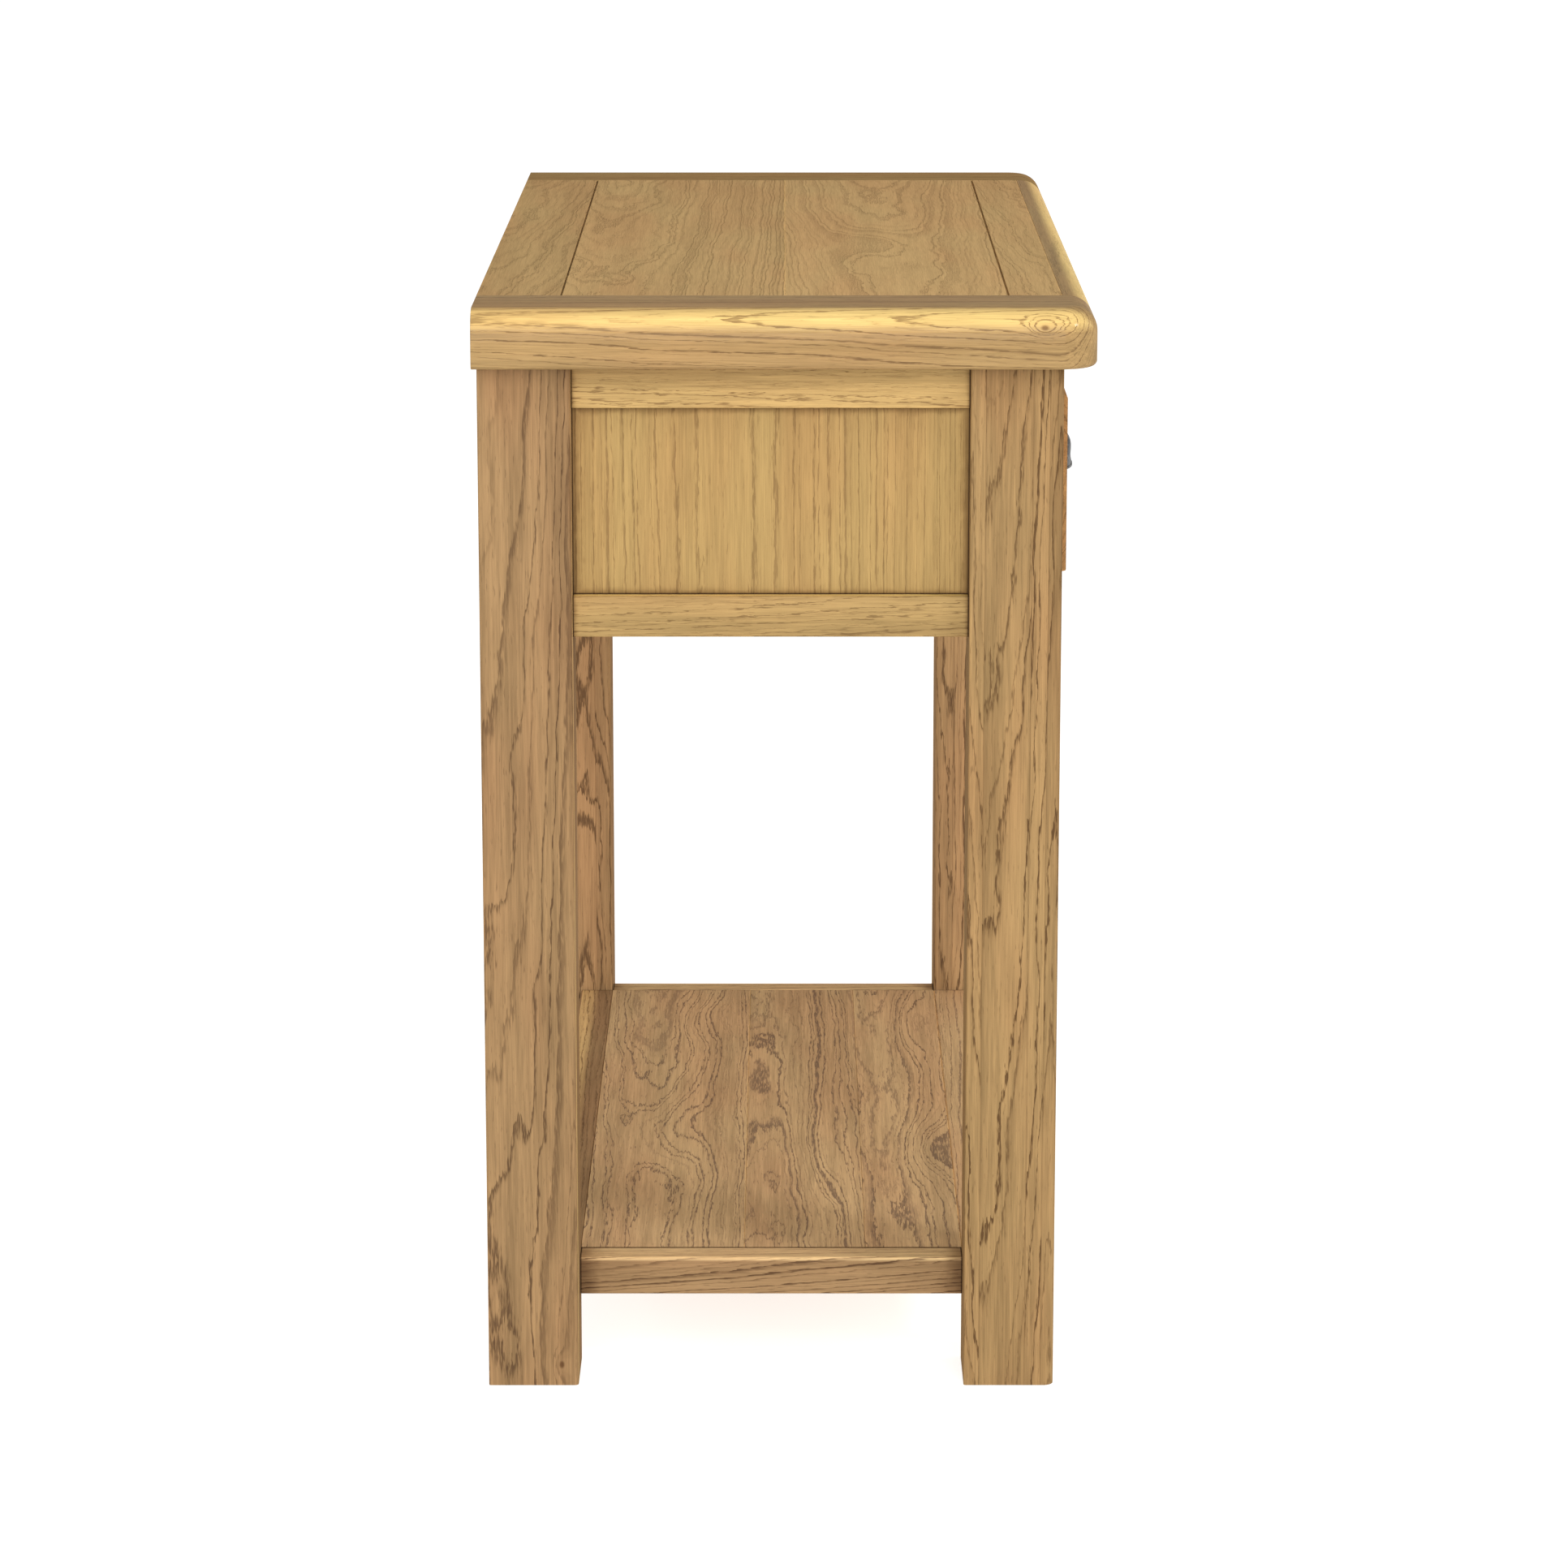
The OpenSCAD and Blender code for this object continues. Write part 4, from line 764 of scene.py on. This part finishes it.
darkIron = metalFinish("agedIron", cupPull["dark"], cupPull["bright"], 420.0, 0.8, 0.85, 0.5)
for side in ("left", "right"):
    makePull(side + "_cup_pull", darkIron)
print("pulls are made")


# Screws: one row for each set, spread over its places by Geometry Nodes.
screws = {"pitch": 0.0014, "thread": 0.00042, "sides": 20, "slotWide": 0.0008, "seed": 5,
    "dark": linear(132, 130, 124), "bright": linear(196, 194, 188)}


def makeScrewRow():
    tree = bpy.data.node_groups.new("screwRow", "GeometryNodeTree")
    for label, kind, value in (("Geometry", "Geometry", None), ("Length", "Float", 0.03),
        ("Shank Radius", "Float", 0.002),
            ("Head Radius", "Float", 0.004), ("Head Height", "Float", 0.0022), ("Pitch", "Float", screws["pitch"]),
            ("Thread Depth", "Float", screws["thread"]), ("Slot Width", "Float", screws["slotWide"]),
            ("Turn Seed", "Int", screws["seed"]), ("Finish", "Material", None)):
        socket = tree.interface.new_socket(name=label, in_out="INPUT", socket_type="NodeSocket" + kind)
        if value is not None:
            socket.default_value = value
    tree.interface.new_socket(name="Geometry", in_out="OUTPUT", socket_type="NodeSocketGeometry")
    given = tree.nodes.new("NodeGroupInput").outputs
    outlet = tree.nodes.new("NodeGroupOutput").inputs

    def moved(mesh, up):
        offset = put(tree, "ShaderNodeCombineXYZ", {2: up}).outputs[0]
        return put(tree, "GeometryNodeTransform", {"Geometry": mesh, "Translation": offset}).outputs[0]

    def block(wide, long, high, up):
        size = put(tree, "ShaderNodeCombineXYZ", {0: wide, 1: long, 2: high}).outputs[0]
        return moved(put(tree, "GeometryNodeMeshCube", {"Size": size}).outputs[0], up)

    core = calc(tree, "SUBTRACT", given["Shank Radius"], given["Thread Depth"])
    point = calc(tree, "MULTIPLY", given["Shank Radius"], 1.6)
    straight = calc(tree, "SUBTRACT", given["Length"], point)
    rod = moved(put(tree, "GeometryNodeMeshCylinder", {"Vertices": screws["sides"], "Radius": core,
        "Depth": straight}).outputs[0],
        calc(tree, "MULTIPLY", straight, 0.5))
    tip = moved(put(tree, "GeometryNodeMeshCone", {"Vertices": screws["sides"], "Radius Top": 0.0002,
        "Radius Bottom": core,
        "Depth": point}).outputs[0], straight)
    run = calc(tree, "MULTIPLY", straight, 0.94)
    coil = put(tree, "GeometryNodeCurveSpiral", {"Resolution": 14,
        "Rotations": calc(tree, "DIVIDE", run, given["Pitch"]),
        "Start Radius": core, "End Radius": core, "Height": run}).outputs[0]
    wire = put(tree, "GeometryNodeCurvePrimitiveCircle", {"Resolution": 4,
        "Radius": given["Thread Depth"]}).outputs[0]
    thread = moved(put(tree, "GeometryNodeCurveToMesh", {"Curve": coil, "Profile Curve": wire,
        "Fill Caps": True}).outputs[0],
        calc(tree, "MULTIPLY", straight, 0.04))
    head = put(tree, "GeometryNodeMeshCone", {"Vertices": screws["sides"] + 8, "Side Segments": 3,
        "Radius Top": given["Head Radius"], "Radius Bottom": calc(tree, "MULTIPLY", given["Head Radius"], 0.82),
        "Depth": given["Head Height"]}).outputs[0]
    head = moved(head, calc(tree, "MULTIPLY", given["Head Height"], -1.0))
    long = calc(tree, "MULTIPLY", given["Head Radius"], 1.1)
    deep = calc(tree, "MULTIPLY", given["Head Height"], 1.1)
    down = calc(tree, "MULTIPLY", given["Head Height"], -1.0)
    cut = put(tree, "GeometryNodeMeshBoolean", {"Mesh 1": head}, operation="DIFFERENCE")
    for wide, tall in ((given["Slot Width"], long), (long, given["Slot Width"])):
        tree.links.new(block(wide, tall, deep, down), cut.inputs["Mesh 2"])
    whole = put(tree, "GeometryNodeJoinGeometry")
    for part in (rod, tip, thread, cut.outputs[0]):
        tree.links.new(part, whole.inputs[0])
    aim = put(tree, "GeometryNodeInputNamedAttribute", {"Name": "aim"}, data_type="FLOAT_VECTOR").outputs["Attribute"]
    face = put(tree, "FunctionNodeAlignRotationToVector", {"Vector": aim}, axis="Z").outputs[0]
    row = put(tree, "GeometryNodeInstanceOnPoints", {"Points": given["Geometry"], "Instance": whole.outputs[0],
        "Rotation": face}).outputs[0]
    spin = put(tree, "FunctionNodeRandomValue", {0: (0, 0, 0), 1: (0, 0, math.tau), "Seed": given["Turn Seed"]},
        data_type="FLOAT_VECTOR").outputs[0]
    row = put(tree, "GeometryNodeRotateInstances", {"Instances": row, "Rotation": spin,
        "Local Space": True}).outputs[0]
    row = put(tree, "GeometryNodeRealizeInstances", {"Geometry": row}).outputs[0]
    row = put(tree, "GeometryNodeSetMaterial", {"Geometry": row, "Material": given["Finish"]}).outputs[0]
    tree.links.new(row, outlet["Geometry"])
    return tree


def looseParts(mesh):
    # corner coordinates of each separate solid
    work = bmesh.new()
    work.from_mesh(mesh)
    bmesh.ops.remove_doubles(work, verts=work.verts, dist=0.00002)
    left, parts = set(work.verts), []
    while left:
        heap, part = [left.pop()], []
        while heap:
            vert = heap.pop()
            part.append(vert.co.copy())
            for edge in vert.link_edges:
                other = edge.other_vert(vert)
                if other in left:
                    left.remove(other)
                    heap.append(other)
        parts.append(part)
    work.free()
    return sorted(parts, key=lambda part: tuple(round(c, 5) for c in sum(part, Vector()) / len(part)))


def measureScrews(node):
    # head place, direction and sizes of each screw in a node's solid
    found = []
    for part in looseParts(frame["nodes"][node].data):
        low = Vector([min(co[i] for co in part) for i in range(3)])
        high = Vector([max(co[i] for co in part) for i in range(3)])
        size, centre = high - low, (low + high) / 2
        axis = max(range(3), key=lambda i: size[i])
        headRadius = max((size[i] for i in range(3) if i != axis)) / 2

        def spread(co):
            return max(abs(co[i] - centre[i]) for i in range(3) if i != axis)

        wide = [co[axis] for co in part if spread(co) > headRadius * 0.98]
        aim = Vector((0, 0, 0))
        aim[axis] = 1.0 if sum(wide) / len(wide) < centre[axis] else -1.0
        under = max(wide, key=lambda at: at * aim[axis])
        first = low[axis] if aim[axis] > 0 else high[axis]
        last = high[axis] if aim[axis] > 0 else low[axis]
        place = centre.copy()
        place[axis] = under
        shank = [spread(co) for co in part if (co[axis] - under) * aim[axis] > 0.0005]
        found.append((place, aim, abs(last - under), headRadius, abs(under - first), max(shank)))
    return found


def fitScrews(node, tree, finish):
    found = measureScrews(node)
    _, _, length, headRadius, headHeight, shankRadius = found[0]
    mesh = bpy.data.meshes.new(node + "_places")
    mesh.from_pydata([place for place, *_ in found], [], [])
    aims = mesh.attributes.new("aim", "FLOAT_VECTOR", "POINT")
    for i, (_, aim, *_) in enumerate(found):
        aims.data[i].vector = aim
    piece = bpy.data.objects.new(node + "_row", mesh)
    bpy.context.collection.objects.link(piece)
    row = piece.modifiers.new("screwRow", "NODES")
    row.node_group = tree
    socketOf = {item.name: item.identifier for item in tree.interface.items_tree if item.in_out == "INPUT"}
    for label, value in (("Length", length), ("Shank Radius", shankRadius), ("Head Radius", headRadius),
            ("Head Height", headHeight), ("Pitch", screws["pitch"] * shankRadius / 0.002), ("Finish", finish)):
        row[socketOf[label]] = value
    made = bpy.data.meshes.new_from_object(piece.evaluated_get(bpy.context.evaluated_depsgraph_get()))
    piece.modifiers.clear()
    piece.data = made
    made.materials.clear()
    softenEdges(made, 40)
    settle(piece, node, finish)


brightSteel = metalFinish("platedSteel", screws["dark"], screws["bright"], 900.0, 0.6, 1.0, 0.2)
screwRow = makeScrewRow()
for node in ("top_screws", "runner_screws", "shelf_screws", "left_pull_screws", "right_pull_screws"):
    fitScrews(node, screwRow, brightSteel)
print("screws are driven")
